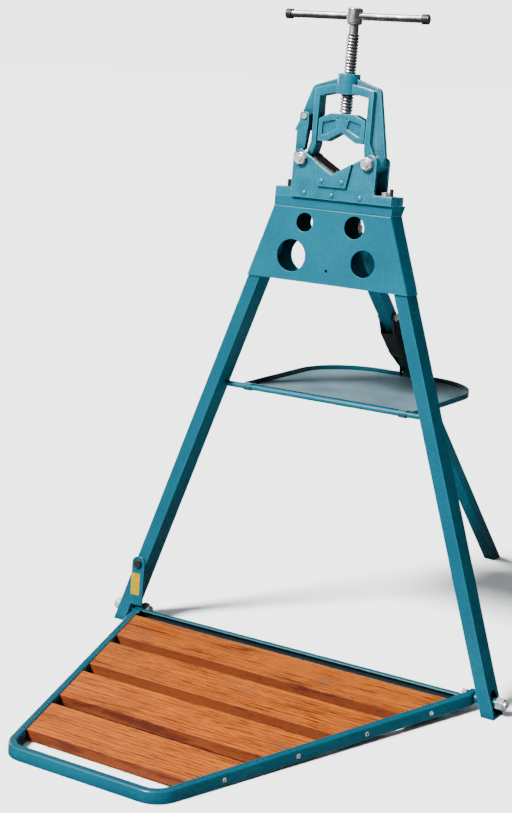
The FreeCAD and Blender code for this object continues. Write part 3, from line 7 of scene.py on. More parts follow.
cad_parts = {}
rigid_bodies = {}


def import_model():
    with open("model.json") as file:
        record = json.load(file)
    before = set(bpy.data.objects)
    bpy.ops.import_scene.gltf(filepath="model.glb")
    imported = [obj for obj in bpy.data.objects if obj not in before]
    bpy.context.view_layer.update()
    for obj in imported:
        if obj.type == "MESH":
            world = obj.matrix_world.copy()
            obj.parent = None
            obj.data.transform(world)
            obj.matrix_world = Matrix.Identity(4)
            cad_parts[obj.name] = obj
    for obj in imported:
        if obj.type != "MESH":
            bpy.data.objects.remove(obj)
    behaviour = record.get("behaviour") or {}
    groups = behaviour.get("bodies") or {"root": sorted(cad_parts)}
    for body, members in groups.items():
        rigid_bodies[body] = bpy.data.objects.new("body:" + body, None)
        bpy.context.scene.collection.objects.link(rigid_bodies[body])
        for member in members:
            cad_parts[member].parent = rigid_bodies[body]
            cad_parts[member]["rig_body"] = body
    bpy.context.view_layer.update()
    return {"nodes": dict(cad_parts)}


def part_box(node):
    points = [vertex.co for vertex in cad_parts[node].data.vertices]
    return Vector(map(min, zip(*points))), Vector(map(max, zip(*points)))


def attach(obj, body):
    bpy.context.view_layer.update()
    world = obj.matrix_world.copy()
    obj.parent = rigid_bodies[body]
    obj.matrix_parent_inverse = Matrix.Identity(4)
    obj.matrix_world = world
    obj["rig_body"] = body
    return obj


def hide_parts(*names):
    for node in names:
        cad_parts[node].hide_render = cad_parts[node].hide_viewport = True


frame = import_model()
nodes = frame["nodes"]
print("frame loaded:", len(nodes), "nodes")


# the leaning front frame

stance = {
    "lean": math.radians(2.9),      # front legs, head and vise lean back together
    "shift": -0.133327,             # front plane's foot line, along Y
    "viseDepth": 0.0205,            # screw axis behind the front plane
}


def leaningMatrix():
    turn = Matrix.Rotation(-stance["lean"], 4, "X")
    return Matrix.Translation((0, stance["shift"], 0)) @ turn


view = {
    "place": (1.36842, -2.41680 + stance["shift"], 1.04504),
    "yaw": 0.54516,
    "pitch": 0.22178,
    "roll": 0.05635,
    "focal": 1690.69,               # in picture rows
    "rows": 813,
    "rise": 22.25,                  # optical axis below the middle, in rows
    "reach": 200,                   # far clip, in metres
    "sensor": 24,                   # in millimetres
}


def addCamera():
    back = Vector((math.sin(view["yaw"]) * math.cos(view["pitch"]),
                   -math.cos(view["yaw"]) * math.cos(view["pitch"]),
                   math.sin(view["pitch"])))
    level = (-back).cross(Vector((0, 0, 1))).normalized()
    upright = back.cross(level)
    right = math.cos(view["roll"]) * level + math.sin(view["roll"]) * upright
    up = math.cos(view["roll"]) * upright - math.sin(view["roll"]) * level
    data = bpy.data.cameras.new("camera")
    data.sensor_fit = "VERTICAL"
    data.sensor_height = view["sensor"]
    data.lens = view["focal"] * data.sensor_height / view["rows"]
    data.shift_y = view["rise"] / view["rows"]
    data.clip_end = view["reach"]
    camera = bpy.data.objects.new("camera", data)
    camera.matrix_world = Matrix((
        (right.x, up.x, back.x, view["place"][0]),
        (right.y, up.y, back.y, view["place"][1]),
        (right.z, up.z, back.z, view["place"][2]),
        (0, 0, 0, 1)))
    bpy.context.scene.collection.objects.link(camera)
    bpy.context.scene.camera = camera


studio = {
    "paperRadius": 60.0,
    "paperHeight": 40.0,
    "paperColor": (0.850, 0.860, 0.865),
    "paperRoughness": 0.9,
    "paperShine": 0.1,
    "paperGlow": (3.36, 3.40, 3.36),        # lit background paper
    "keyAim": (-0.29, -1.04, 1.0),          # towards the lamp
    "keyStrength": 18.3,
    "keySpread": math.radians(14),
    "skyAim": (-0.40, -0.25, 0.88),         # brightest part of the ceiling
    "skyColor": (0.93, 0.97, 1.0),
    "skyStart": 0.05,               # cosine from which the ceiling grows brighter
    "skyLow": 0.05,
    "skyHigh": 0.62,
    "boxAim": (0, 0, 0.8),
    "boxes": {                      # seen in shiny surfaces only: place, width, height, radiance
        "topBox": ((-2.0, -1.0, 4.4), 2.2, 2.2, 7.0),
        "leftBox": ((-4.6, 1.7, 0.2), 3.6, 4.0, 6.5),
    },
}


def addKey():
    data = bpy.data.lights.new("keyLight", "SUN")
    data.energy = studio["keyStrength"]
    data.angle = studio["keySpread"]
    lamp = bpy.data.objects.new("keyLight", data)
    lamp.rotation_euler = (-Vector(studio["keyAim"])).to_track_quat("-Z", "Y").to_euler()
    bpy.context.scene.collection.objects.link(lamp)


def addBoxes():
    for name, (place, width, height, radiance) in studio["boxes"].items():
        data = bpy.data.lights.new(name, "AREA")
        data.shape = "RECTANGLE"
        data.size = width
        data.size_y = height
        data.energy = radiance * math.pi * width * height
        lamp = bpy.data.objects.new(name, data)
        lamp.location = place
        aim = Vector(studio["boxAim"]) - Vector(place)
        lamp.rotation_euler = aim.to_track_quat("-Z", "Y").to_euler()
        lamp.visible_diffuse = False
        lamp.visible_camera = False
        bpy.context.scene.collection.objects.link(lamp)


def addSky():
    world = bpy.data.worlds.new("studio")
    world.use_nodes = True
    tree = world.node_tree
    sky = tree.nodes["Background"]
    sky.inputs["Color"].default_value = (*studio["skyColor"], 1)
    aim = tree.nodes.new("ShaderNodeVectorMath")
    aim.operation = "DOT_PRODUCT"
    aim.inputs[1].default_value = studio["skyAim"]
    tree.links.new(tree.nodes.new("ShaderNodeTexCoord").outputs["Generated"], aim.inputs[0])
    rise = tree.nodes.new("ShaderNodeMapRange")
    rise.interpolation_type = "SMOOTHSTEP"
    for socket, value in (("From Min", studio["skyStart"]), ("From Max", 1.0),
                          ("To Min", studio["skyLow"]), ("To Max", studio["skyHigh"])):
        rise.inputs[socket].default_value = value
    tree.links.new(aim.outputs["Value"], rise.inputs["Value"])
    tree.links.new(rise.outputs["Result"], sky.inputs["Strength"])
    bpy.context.scene.world = world


def paperDisc(name, height):
    # The floor, or with a height the wall that stands round it.
    mesh = bpy.data.meshes.new(name)
    shell = bmesh.new()
    bmesh.ops.create_circle(shell, segments=96, radius=studio["paperRadius"], cap_ends=height == 0)
    if height:
        ring = bmesh.ops.extrude_edge_only(shell, edges=shell.edges[:])["geom"]
        for vertex in [item for item in ring if isinstance(item, bmesh.types.BMVert)]:
            vertex.co.z = height
    shell.to_mesh(mesh)
    shell.free()
    paper = bpy.data.objects.new(name, mesh)
    bpy.context.scene.collection.objects.link(paper)
    paper.visible_glossy = False
    return paper


def addPaper():
    floor = paperDisc("floor", 0)
    matte = bpy.data.materials.new("palePaper")
    matte.use_nodes = True
    shader = matte.node_tree.nodes["Principled BSDF"]
    shader.inputs["Base Color"].default_value = (*studio["paperColor"], 1)
    shader.inputs["Roughness"].default_value = studio["paperRoughness"]
    shader.inputs["Specular IOR Level"].default_value = studio["paperShine"]
    floor.data.materials.append(matte)
    wall = paperDisc("backdrop", studio["paperHeight"])
    wall.visible_shadow = False
    wall.visible_diffuse = False
    lit = bpy.data.materials.new("litPaper")
    lit.use_nodes = True
    shader = lit.node_tree.nodes["Principled BSDF"]
    shader.inputs["Base Color"].default_value = (0, 0, 0, 1)
    shader.inputs["Specular IOR Level"].default_value = 0
    shader.inputs["Emission Color"].default_value = (*studio["paperGlow"], 1)
    shader.inputs["Emission Strength"].default_value = 1
    wall.data.materials.append(lit)


addCamera()
addKey()
addBoxes()
addSky()
addPaper()
print("camera and studio ready")


# materials

# painted shade in corners and painted highlight along outer edges, with the rays of the rounded
# edges
paintedLightAndWear = {
    "samples": 4,                   # rays for crevices and rounded edges
    "gather": 1.6,                  # how closely the shade keeps to a corner
    "open": 0.85,                   # openness from which the plain color shows
    "rimStart": 0.995,              # cosine of the turn where an edge starts to pale
    "rimFull": 0.92,
    "rimShare": 0.75,
}


class Shade:
    # One material under construction: adds nodes and links them by name.
    def __init__(self, name):
        self.material = bpy.data.materials.new(name)
        self.material.use_nodes = True
        self.tree = self.material.node_tree
        self.shader = self.tree.nodes["Principled BSDF"]
        self.place = self.add("ShaderNodeTexCoord").outputs["Object"]

    def add(self, kind, **settings):
        node = self.tree.nodes.new(kind)
        for key, value in settings.items():
            setattr(node, key, value)
        return node

    def feed(self, node, socket, value):
        if isinstance(value, bpy.types.NodeSocket):
            self.tree.links.new(value, node.inputs[socket])
        else:
            node.inputs[socket].default_value = value

    def noise(self, scale, detail=3.0, roughness=0.5, distortion=0.0, place=None):
        node = self.add("ShaderNodeTexNoise")
        self.feed(node, "Vector", place or self.place)
        self.feed(node, "Scale", scale)
        self.feed(node, "Detail", detail)
        self.feed(node, "Roughness", roughness)
        self.feed(node, "Distortion", distortion)
        return node.outputs["Fac"]

    def cells(self, scale, smoothness):
        node = self.add("ShaderNodeTexVoronoi", feature="SMOOTH_F1")
        self.feed(node, "Vector", self.place)
        self.feed(node, "Scale", scale)
        self.feed(node, "Smoothness", smoothness)
        return node.outputs["Distance"]

    def math(self, operation, first, second=0.0, third=0.0):
        node = self.add("ShaderNodeMath", operation=operation)
        self.feed(node, 0, first)
        self.feed(node, 1, second)
        self.feed(node, 2, third)
        return node.outputs[0]

    def ramp(self, value, stops):
        node = self.add("ShaderNodeValToRGB")
        self.feed(node, "Fac", value)
        line = node.color_ramp.elements
        while len(line) < len(stops):
            line.new(0.5)
        for element, (position, color) in zip(line, stops):
            element.position = position
            element.color = (*color, 1)
        return node.outputs["Color"]

    def span(self, value, low, high, lowTo, highTo):
        node = self.add("ShaderNodeMapRange")
        for socket, amount in (("Value", value), ("From Min", low), ("From Max", high),
                               ("To Min", lowTo), ("To Max", highTo)):
            self.feed(node, socket, amount)
        return node.outputs["Result"]

    def mix(self, share, first, second):
        node = self.add("ShaderNodeMix", data_type="RGBA")
        self.feed(node, 0, share)
        for socket, color in ((6, first), (7, second)):     # the two color inputs
            if not isinstance(color, bpy.types.NodeSocket):
                color = (*color, 1)
            self.feed(node, socket, color)
        return node.outputs[2]

    def stretched(self, scale, turn=(0, 0, 0)):
        node = self.add("ShaderNodeMapping")
        self.feed(node, "Vector", self.place)
        self.feed(node, "Scale", scale)
        self.feed(node, "Rotation", turn)
        return node.outputs["Vector"]

    def bump(self, height, strength, distance, under=None):
        node = self.add("ShaderNodeBump")
        self.feed(node, "Height", height)
        self.feed(node, "Strength", strength)
        self.feed(node, "Distance", distance)
        if under:
            self.feed(node, "Normal", under)
        return node.outputs["Normal"]

    def edges(self, radius):
        node = self.add("ShaderNodeBevel", samples=paintedLightAndWear["samples"])
        self.feed(node, "Radius", radius)
        return node.outputs["Normal"]

    def paintedCornerShade(self, color, reach, least):
        # Painted shade: the colour darkens where faces meet.
        node = self.add("ShaderNodeAmbientOcclusion", samples=paintedLightAndWear["samples"])
        self.feed(node, "Distance", reach)
        clear = self.math("POWER", node.outputs["AO"], paintedLightAndWear["gather"])
        return self.mix(self.span(clear, 0.0, paintedLightAndWear["open"], least, 1.0), (0.0, 0.0, 0.0), color)

    def rims(self, color, rounded, pale):
        # Painted highlight: the colour turns paler along outer edges.
        turn = self.add("ShaderNodeVectorMath", operation="DOT_PRODUCT")
        self.feed(turn, 0, rounded)
        self.feed(turn, 1, self.add("ShaderNodeNewGeometry").outputs["True Normal"])
        share = self.span(turn.outputs["Value"], paintedLightAndWear["rimStart"], paintedLightAndWear["rimFull"], 0.0,
                          paintedLightAndWear["rimShare"])
        return self.mix(share, color, pale)

    def facingUp(self):
        # Up is the object's own Z, so it stays on the same face when a joint moves.
        turned = self.add("ShaderNodeVectorTransform", vector_type="NORMAL", convert_from="WORLD",
                          convert_to="OBJECT")
        self.feed(turned, "Vector", self.add("ShaderNodeNewGeometry").outputs["True Normal"])
        parts = self.add("ShaderNodeSeparateXYZ")
        self.feed(parts, 0, turned.outputs["Vector"])
        return parts.outputs["Z"]

    def finish(self, **sockets):
        for name, value in sockets.items():
            self.feed(self.shader, name.replace("_", " "), value)
        return self.material


# sprayed enamel of the frame; a coat below lists only what differs

enamel = {
    "peel": 420,                    # orange peel of the sprayed coat, about 2.5 mm
    "relief": 0.06,                 # strength of the peel
    "roughness": 0.26,
    "edge": 0.0016,                 # radius that outer edges seem to have
    "crevice": 0.014,               # painted shade within this distance of another face
    "least": 0.30,                  # share of the paint's tone that the painted shade leaves in a corner
    "rim": (0.016, 0.150, 0.200),   # painted highlight along outer edges
    "paintedSheen": None,                 # paler paint on upward faces: a painted sheen
}

# headEnamel and sprayedEnamel are one paint: sprayedEnamel's darker tone is painted shade on the
# legs and frame, which get less light towards the floor. The wide crevice reaches of headEnamel and
# barEnamel paint deeper shade in their corners.
coats = {
    "sprayedEnamel": {"deep": (0, 0.032, 0.051), "light": (0, 0.046, 0.069)},
    "headEnamel": {"deep": (0, 0.040, 0.064), "light": (0, 0.062, 0.092), "relief": 0.45,
                   "crevice": 0.120, "least": 0.18},
    "barEnamel": {"deep": (0.0015, 0.030, 0.042), "light": (0.0030, 0.043, 0.058),
                  "crevice": 0.040, "least": 0.04},
    # this near-black enamel is painted shade inside the rear bar's channel
    "channelShadeEnamel": {"deep": (0, 0.007, 0.010), "light": (0, 0.011, 0.015), "roughness": 0.40},
    "trayEnamel": {"deep": (0, 0.026, 0.040), "light": (0.002, 0.040, 0.056), "peel": 240,
                   "relief": 0.05, "roughness": 0.30, "edge": 0.0008,
                   "paintedSheen": (0.086, 0.132, 0.152)},
}


def sprayedEnamel(name):
    coat = {**enamel, **coats[name]}
    shade = Shade(name)
    drift = shade.noise(9, 3)
    dimples = shade.cells(coat["peel"], 0.8)
    grain = shade.noise(coat["peel"] * 2.4, 2)
    relief = shade.math("MULTIPLY_ADD", grain, 0.4, dimples)
    tone = shade.math("MULTIPLY_ADD", dimples, 0.45, shade.math("MULTIPLY", drift, 0.75))
    rounded = shade.edges(coat["edge"])
    color = shade.ramp(tone, [(0.36, coat["deep"]), (0.80, coat["light"])])
    # painted highlight along outer edges, then painted shade where faces meet
    color = shade.rims(color, rounded, coat["rim"])
    color = shade.paintedCornerShade(color, coat["crevice"], coat["least"])
    # painted sheen: upward faces of the tray turn paler
    if coat["paintedSheen"]:
        uneven = shade.math("ADD", shade.facingUp(), shade.math("MULTIPLY", drift, 0.2))
        color = shade.mix(shade.span(uneven, 0.98, 1.12, 0.0, 1.0), color, coat["paintedSheen"])
    gloss = shade.span(grain, 0.3, 0.7, coat["roughness"] - 0.05, coat["roughness"] + 0.08)
    return shade.finish(Base_Color=color, Roughness=gloss,
                        Normal=shade.bump(relief, coat["relief"], 0.0006, rounded),
                        Coat_Weight=0.10, Coat_Roughness=0.10, Specular_IOR_Level=0.25)


casting = {
    "deep": (0.0, 0.050, 0.078),
    "light": (0.0006, 0.076, 0.112),
    "sand": 650,                    # sand skin of the casting under the paint
    "swell": 60,
    "edge": 0.0018,
    # painted highlight along outer edges
    "rim": (0.034, 0.200, 0.265),
    # painted shade in corners
    "crevice": 0.030,
    "least": 0.06,
}


def paintedCasting():
    shade = Shade("paintedCasting")
    sand = shade.noise(casting["sand"], 3, 0.55)
    swell = shade.noise(casting["swell"], 3)
    tone = shade.math("MULTIPLY_ADD", swell, 0.65, shade.math("MULTIPLY", sand, 0.35))
    rounded = shade.edges(casting["edge"])
    color = shade.ramp(tone, [(0.34, casting["deep"]), (0.66, casting["light"])])
    # painted highlight along outer edges, then painted shade where faces meet
    color = shade.rims(color, rounded, casting["rim"])
    color = shade.paintedCornerShade(color, casting["crevice"], casting["least"])
    relief = shade.math("MULTIPLY_ADD", swell, 1.4, sand)
    return shade.finish(Base_Color=color, Roughness=shade.span(sand, 0.3, 0.7, 0.22, 0.34),
                        Normal=shade.bump(relief, 0.24, 0.0005, rounded),
                        Coat_Weight=0.2, Coat_Roughness=0.12, Specular_IOR_Level=0.4)


steel = {
    "edge": 0.0006,
    "brightRange": 0.14,            # how much rougher a stain makes it
    "darkRange": 0.18,
}


def brightSteel(name, along, dull, clean, rough, crevice=0.0, metallic=1.0):
    # Turned or drawn steel: marks run across the given stretch.
    shade = Shade(name)
    marks = shade.noise(70, 4, 0.6, 0.1, shade.stretched(along))
    stain = shade.noise(55, 4)
    tone = shade.math("MULTIPLY_ADD", stain, 0.6, shade.math("MULTIPLY", marks, 0.4))
    color = shade.ramp(tone, [(0.32, dull), (0.62, clean)])
    # painted shade where faces meet, used in the thread's grooves
    if crevice:
        color = shade.paintedCornerShade(color, crevice, 0.02)
    return shade.finish(Base_Color=color, Metallic=metallic,
                        Normal=shade.bump(marks, 0.12, 0.0002, shade.edges(steel["edge"])),
                        Roughness=shade.span(stain, 0.3, 0.7, rough, rough + steel["brightRange"]))


def darkSteel(name, deep, light, metallic, rough):
    shade = Shade(name)
    grit = shade.noise(700, 4)
    color = shade.ramp(grit, [(0.3, deep), (0.75, light)])
    return shade.finish(Base_Color=color, Metallic=metallic,
                        Normal=shade.bump(grit, 0.3, 0.0004, shade.edges(steel["edge"])),
                        Roughness=shade.span(grit, 0.3, 0.7, rough, rough + steel["darkRange"]))


woodTones = {
    1: ((0.052, 0.0095, 0.0010), (0.165, 0.035, 0.0028), (0.250, 0.061, 0.0052)),
    2: ((0.055, 0.0100, 0.0010), (0.172, 0.036, 0.0028), (0.262, 0.063, 0.0052)),
    3: ((0.062, 0.0115, 0.0010), (0.194, 0.040, 0.0029), (0.290, 0.069, 0.0055)),
    4: ((0.062, 0.0115, 0.0010), (0.194, 0.040, 0.0030), (0.290, 0.069, 0.0058)),
}


wood = {
    "shift": (0.37, 0.21, 0.53),    # from one board's figure to the next
    "stretch": (1.0, 7.0, 7.0),
    "rings": {"Scale": 34.0, "Distortion": 7.0, "Detail": 3.0, "Detail Scale": 2.4},
    "dirt": (0.066, 0.036, 0.021),
    "dirtShare": 0.60,
    "paintedSideShade": (0.036, 0.0066, 0.0034),        # painted shade on sides and ends
    "paintedSideShadeShare": 0.78,
    "upright": 0.6,                 # faces that point up less than this are sides
}


def oiledBoard(number):
    # Grain runs along X; each board is cut from another part of the tree.
    shade = Shade(f"oiledBoard{number}")
    mapping = shade.add("ShaderNodeMapping")
    for socket, value in (("Vector", shade.place), ("Scale", wood["stretch"]),
                          ("Location", tuple(number * step for step in wood["shift"]))):
        shade.feed(mapping, socket, value)
    figure = shade.noise(4.5, 5, 0.62, 1.2, mapping.outputs["Vector"])
    slant = 0.015 * number - 0.03
    fibres = shade.noise(30, 6, 0.80, 0.9, shade.stretched((1.3, 10.0, 10.0), (0, 0, slant)))
    rings = shade.add("ShaderNodeTexWave", wave_type="BANDS", bands_direction="Y")
    bowed = shade.stretched((0.10, 1, 1), (0, 0, 0.05 - 0.03 * number))
    for socket, value in {"Vector": bowed, "Phase Offset": 2.0 * number, **wood["rings"]}.items():
        shade.feed(rings, socket, value)
    late = shade.span(rings.outputs["Fac"], 0.0, 0.30, -0.095, 0.014)    # thin dark late wood
    pores = shade.noise(30, 3, 0.7, 0.2, shade.stretched((2.0, 30, 30)))
    cloud = shade.noise(14, 3, 0.6)
    smudge = shade.ramp(shade.noise(11, 4, 0.6, 0.4), [(0.60, (0, 0, 0)), (0.74, (1, 1, 1))])
    grain = shade.math("MULTIPLY_ADD", fibres, 0.55, shade.math("MULTIPLY", pores, 0.15))
    tone = shade.math("MULTIPLY_ADD", figure, 0.25, shade.math("MULTIPLY_ADD", cloud, 0.12, grain))
    tone = shade.math("ADD", tone, late)
    color = shade.ramp(tone, list(zip((0.43, 0.505, 0.60), woodTones[number])))
    soiled = shade.mix(shade.math("MULTIPLY", smudge, wood["dirtShare"]), color, wood["dirt"])
    # painted shade: faces that are not turned up are darkened
    side = shade.math("LESS_THAN", shade.facingUp(), wood["upright"])
    color = shade.mix(shade.math("MULTIPLY", side, wood["paintedSideShadeShare"]), soiled, wood["paintedSideShade"])
    return shade.finish(Base_Color=color, Roughness=shade.span(pores, 0.3, 0.7, 0.42, 0.60),
                        Normal=shade.bump(grain, 0.25, 0.0005, shade.edges(0.0014)),
                        Specular_IOR_Level=0.12)


def yellowFilm():
    shade = Shade("yellowFilm")
    paintedLightAndWear = shade.noise(160, 4)
    color = shade.ramp(paintedLightAndWear, [(0.35, (0.150, 0.092, 0.0)), (0.60, (0.190, 0.122, 0.0))])
    return shade.finish(Base_Color=color, Roughness=shade.span(paintedLightAndWear, 0.3, 0.7, 0.30, 0.48),
                        Normal=shade.bump(paintedLightAndWear, 0.1, 0.0002), Specular_IOR_Level=0.08)


finishes = {
    "enamel": sprayedEnamel("sprayedEnamel"),
    "head": sprayedEnamel("headEnamel"),
    "bar": sprayedEnamel("barEnamel"),
    "channel": sprayedEnamel("channelShadeEnamel"),
    "tray": sprayedEnamel("trayEnamel"),
    "casting": paintedCasting(),
    "zinc": brightSteel("zincSteel", (1, 1, 1), (0.42, 0.41, 0.39), (0.80, 0.80, 0.79), 0.20,
                        metallic=0.80),
    "turned": brightSteel("turnedSteel", (1, 1, 12), (0.62, 0.61, 0.60), (0.92, 0.92, 0.92), 0.20),
    "thread": brightSteel("threadSteel", (1, 1, 12), (0.50, 0.49, 0.48), (0.85, 0.85, 0.85), 0.22,
                          crevice=0.004),
    "drawn": brightSteel("drawnSteel", (14, 1, 1), (0.50, 0.49, 0.48), (0.82, 0.82, 0.82), 0.12),
    "black": darkSteel("blackenedSteel", (0.0035, 0.004, 0.0045), (0.014, 0.015, 0.016), 0.3, 0.30),
    "jaws": darkSteel("hardenedJaw", (0.010, 0.009, 0.008), (0.085, 0.080, 0.075), 0.9, 0.24),
    # near-black steel for the core between the thread's ridges
    "threadCore": darkSteel("darkThreadCore", (0.02, 0.019, 0.018), (0.07, 0.068, 0.065), 0.8, 0.30),
    "film": yellowFilm(),
}

nodeFinish = {
    # the rear leg takes the head's enamel, with its deeper painted shade in corners
    "head": ["head_front_plate", "head_rear_plate", "rear_leg_bracket", "rear_leg", "cross_rod"],
    "enamel": ["left_leg", "right_leg", "left_foot_plate", "right_foot_plate", "footboard_frame",
               "footboard_rear_bar", "footboard_latch", "hinge_spacers"],
    "tray": ["tray"],
    "casting": ["vise_base", "vise_front_plate", "vise_rear_plate", "shield_plate", "jaw_seat",
                "yoke", "latch_hook", "upper_jaw", "latch_sleeve", "base_rivets", "shield_rivets"],
    "zinc": ["hook_rivet", "rear_leg_bolt", "arm_bolt", "hinge_bolts", "hinge_nuts",
             "base_bolts", "vise_bolts", "vise_nuts"],
    "turned": ["spindle"],
    "drawn": ["tommy_bar"],
    "black": ["jaw_pins", "base_pins", "bar_rings", "tray_arm", "footboard_latch_bolt"],
    "jaws": ["lower_jaw_left", "lower_jaw_right"],
}


def dress(node, material):
    mesh = nodes[node].data
    mesh.materials.clear()
    mesh.materials.append(material)


for finish, names in nodeFinish.items():
    for name in names:
        dress(name, finishes[finish])
for number in woodTones:
    dress(f"board_{number}", oiledBoard(number))
print("materials ready:", len(bpy.data.materials))


# ways to make the small parts

class Plan:
    # One Geometry Nodes tree with named inputs; ends realized and with its material.
    def __init__(self, name, inputs):
        self.tree = bpy.data.node_groups.new(name, "GeometryNodeTree")
        sockets = {"Geometry": "Geometry", **inputs, "Material": "Material"}
        for label, kind in sockets.items():
            self.tree.interface.new_socket(label, in_out="INPUT", socket_type="NodeSocket" + kind)
        self.tree.interface.new_socket("Geometry", in_out="OUTPUT", socket_type="NodeSocketGeometry")
        self.given = self.tree.nodes.new("NodeGroupInput").outputs
        self.result = self.tree.nodes.new("NodeGroupOutput").inputs

    def add(self, kind, feeds, **settings):
        node = self.tree.nodes.new(kind)
        for key, value in settings.items():
            setattr(node, key, value)
        for socket, value in feeds.items():
            if isinstance(value, bpy.types.NodeSocket):
                self.tree.links.new(value, node.inputs[socket])
            else:
                node.inputs[socket].default_value = value
        return node.outputs

    def math(self, operation, first, second):
        return self.add("ShaderNodeMath", {0: first, 1: second}, operation=operation)[0]

    def end(self, shape, chosen=None, other=None):
        shape = self.add("GeometryNodeRealizeInstances", {"Geometry": shape})["Geometry"]
        shape = self.add("GeometryNodeSetMaterial", {"Geometry": shape,
                                                     "Material": self.given["Material"]})[0]
        if chosen:
            shape = self.add("GeometryNodeSetMaterial", {"Geometry": shape, "Selection": chosen,
                                                         "Material": other})[0]
        self.tree.links.new(shape, self.result["Geometry"])
        return self


def grow(name, plan, mesh, values, place=None):
    # Runs a plan once over a mesh and leaves a plain object, placed in its mesh.
    piece = bpy.data.objects.new(name, mesh)
    modifier = piece.modifiers.new("plan", "NODES")
    modifier.node_group = plan.tree
    for item in plan.tree.interface.items_tree:
        if item.in_out == "INPUT" and item.name in values:
            modifier[item.identifier] = values[item.name]
    bpy.context.scene.collection.objects.link(piece)
    shape = piece.evaluated_get(bpy.context.evaluated_depsgraph_get())
    plain = bpy.data.meshes.new_from_object(shape)
    piece.modifiers.clear()
    piece.data = plain
    plain.name = name
    if place:
        plain.transform(place)
    return piece


def fit(piece, body, slot, *replaced):
    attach(piece, body)
    if replaced:
        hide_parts(*replaced)


def smoothTurned(mesh, angle):
    # Round sides shade round, edges sharper than the angle stay crisp.
    shell = bmesh.new()
    shell.from_mesh(mesh)
    for face in shell.faces:
        face.smooth = True
    for edge in shell.edges:
        edge.smooth = len(edge.link_faces) == 2 and edge.calc_face_angle(0) < math.radians(angle)
    shell.to_mesh(mesh)
    shell.free()


hexagon = {
    "face": 0.475,                  # radius of the round top face, as a share of the flats
    "chamfer": math.radians(30),
}


def lathe(name, profile, steps, flats=0, sharp=32):
    # Turns (radius, height) points about Z. With flats, radius -1 follows the hexagon and
    # radius -2 its chamfered upper edge.
    shell = bmesh.new()
    rings = []
    for radius, height in profile:
        ring = []
        for step in range(steps if radius else 1):
            angle = 2 * math.pi * step / steps
            reach, rise = radius, height
            if radius < 0:
                apart = (angle + math.pi / 6) % (math.pi / 3) - math.pi / 6
                reach = flats / 2 / math.cos(apart)
                if radius == -2:
                    rise -= (reach - hexagon["face"] * flats) * math.tan(hexagon["chamfer"])
            ring.append(shell.verts.new((reach * math.cos(angle), reach * math.sin(angle), rise)))
        rings.append(ring)
    for lower, upper in zip(rings, rings[1:]):
        for step in range(steps):
            after = (step + 1) % steps
            corners = [lower[step % len(lower)], lower[after % len(lower)],
                       upper[after % len(upper)], upper[step % len(upper)]]
            corners = list(dict.fromkeys(corners))
            if len(corners) > 2:
                shell.faces.new(corners)
    bmesh.ops.recalc_face_normals(shell, faces=shell.faces)
    mesh = bpy.data.meshes.new(name)
    shell.to_mesh(mesh)
    shell.free()
    smoothTurned(mesh, sharp)
    return mesh


def spots(name, places):
    # Loose points, each with the direction that its part faces.
    mesh = bpy.data.meshes.new(name)
    mesh.from_pydata([place for place, facing in places], [], [])
    facings = mesh.attributes.new("facing", "FLOAT_VECTOR", "POINT")
    for item, (place, facing) in zip(facings.data, places):
        item.vector = facing
    return mesh


def spreadPlan():
    plan = Plan("spreadParts", {"Part": "Object", "Spin": "Float", "Seed": "Int"})
    facing = plan.add("GeometryNodeInputNamedAttribute", {"Name": "facing"},
                      data_type="FLOAT_VECTOR")
    aimed = plan.add("FunctionNodeAlignRotationToVector", {"Vector": facing["Attribute"]},
                     axis="Z")
    chance = plan.add("FunctionNodeRandomValue", {      # inputs 2 and 3: least and most
        2: 0.0, 3: plan.given["Spin"], "Seed": plan.given["Seed"]}, data_type="FLOAT")
    twist = plan.add("FunctionNodeAxisAngleToRotation", {"Axis": (0, 0, 1), "Angle": chance[1]})
    turned = plan.add("FunctionNodeRotateRotation", {
        "Rotation": aimed["Rotation"], "Rotate By": twist["Rotation"]}, rotation_space="LOCAL")
    part = plan.add("GeometryNodeObjectInfo", {"Object": plan.given["Part"], "As Instance": True})
    placed = plan.add("GeometryNodeInstanceOnPoints", {
        "Points": plan.given["Geometry"], "Instance": part["Geometry"],
        "Rotation": turned["Rotation"]})
    return plan.end(placed["Instances"])


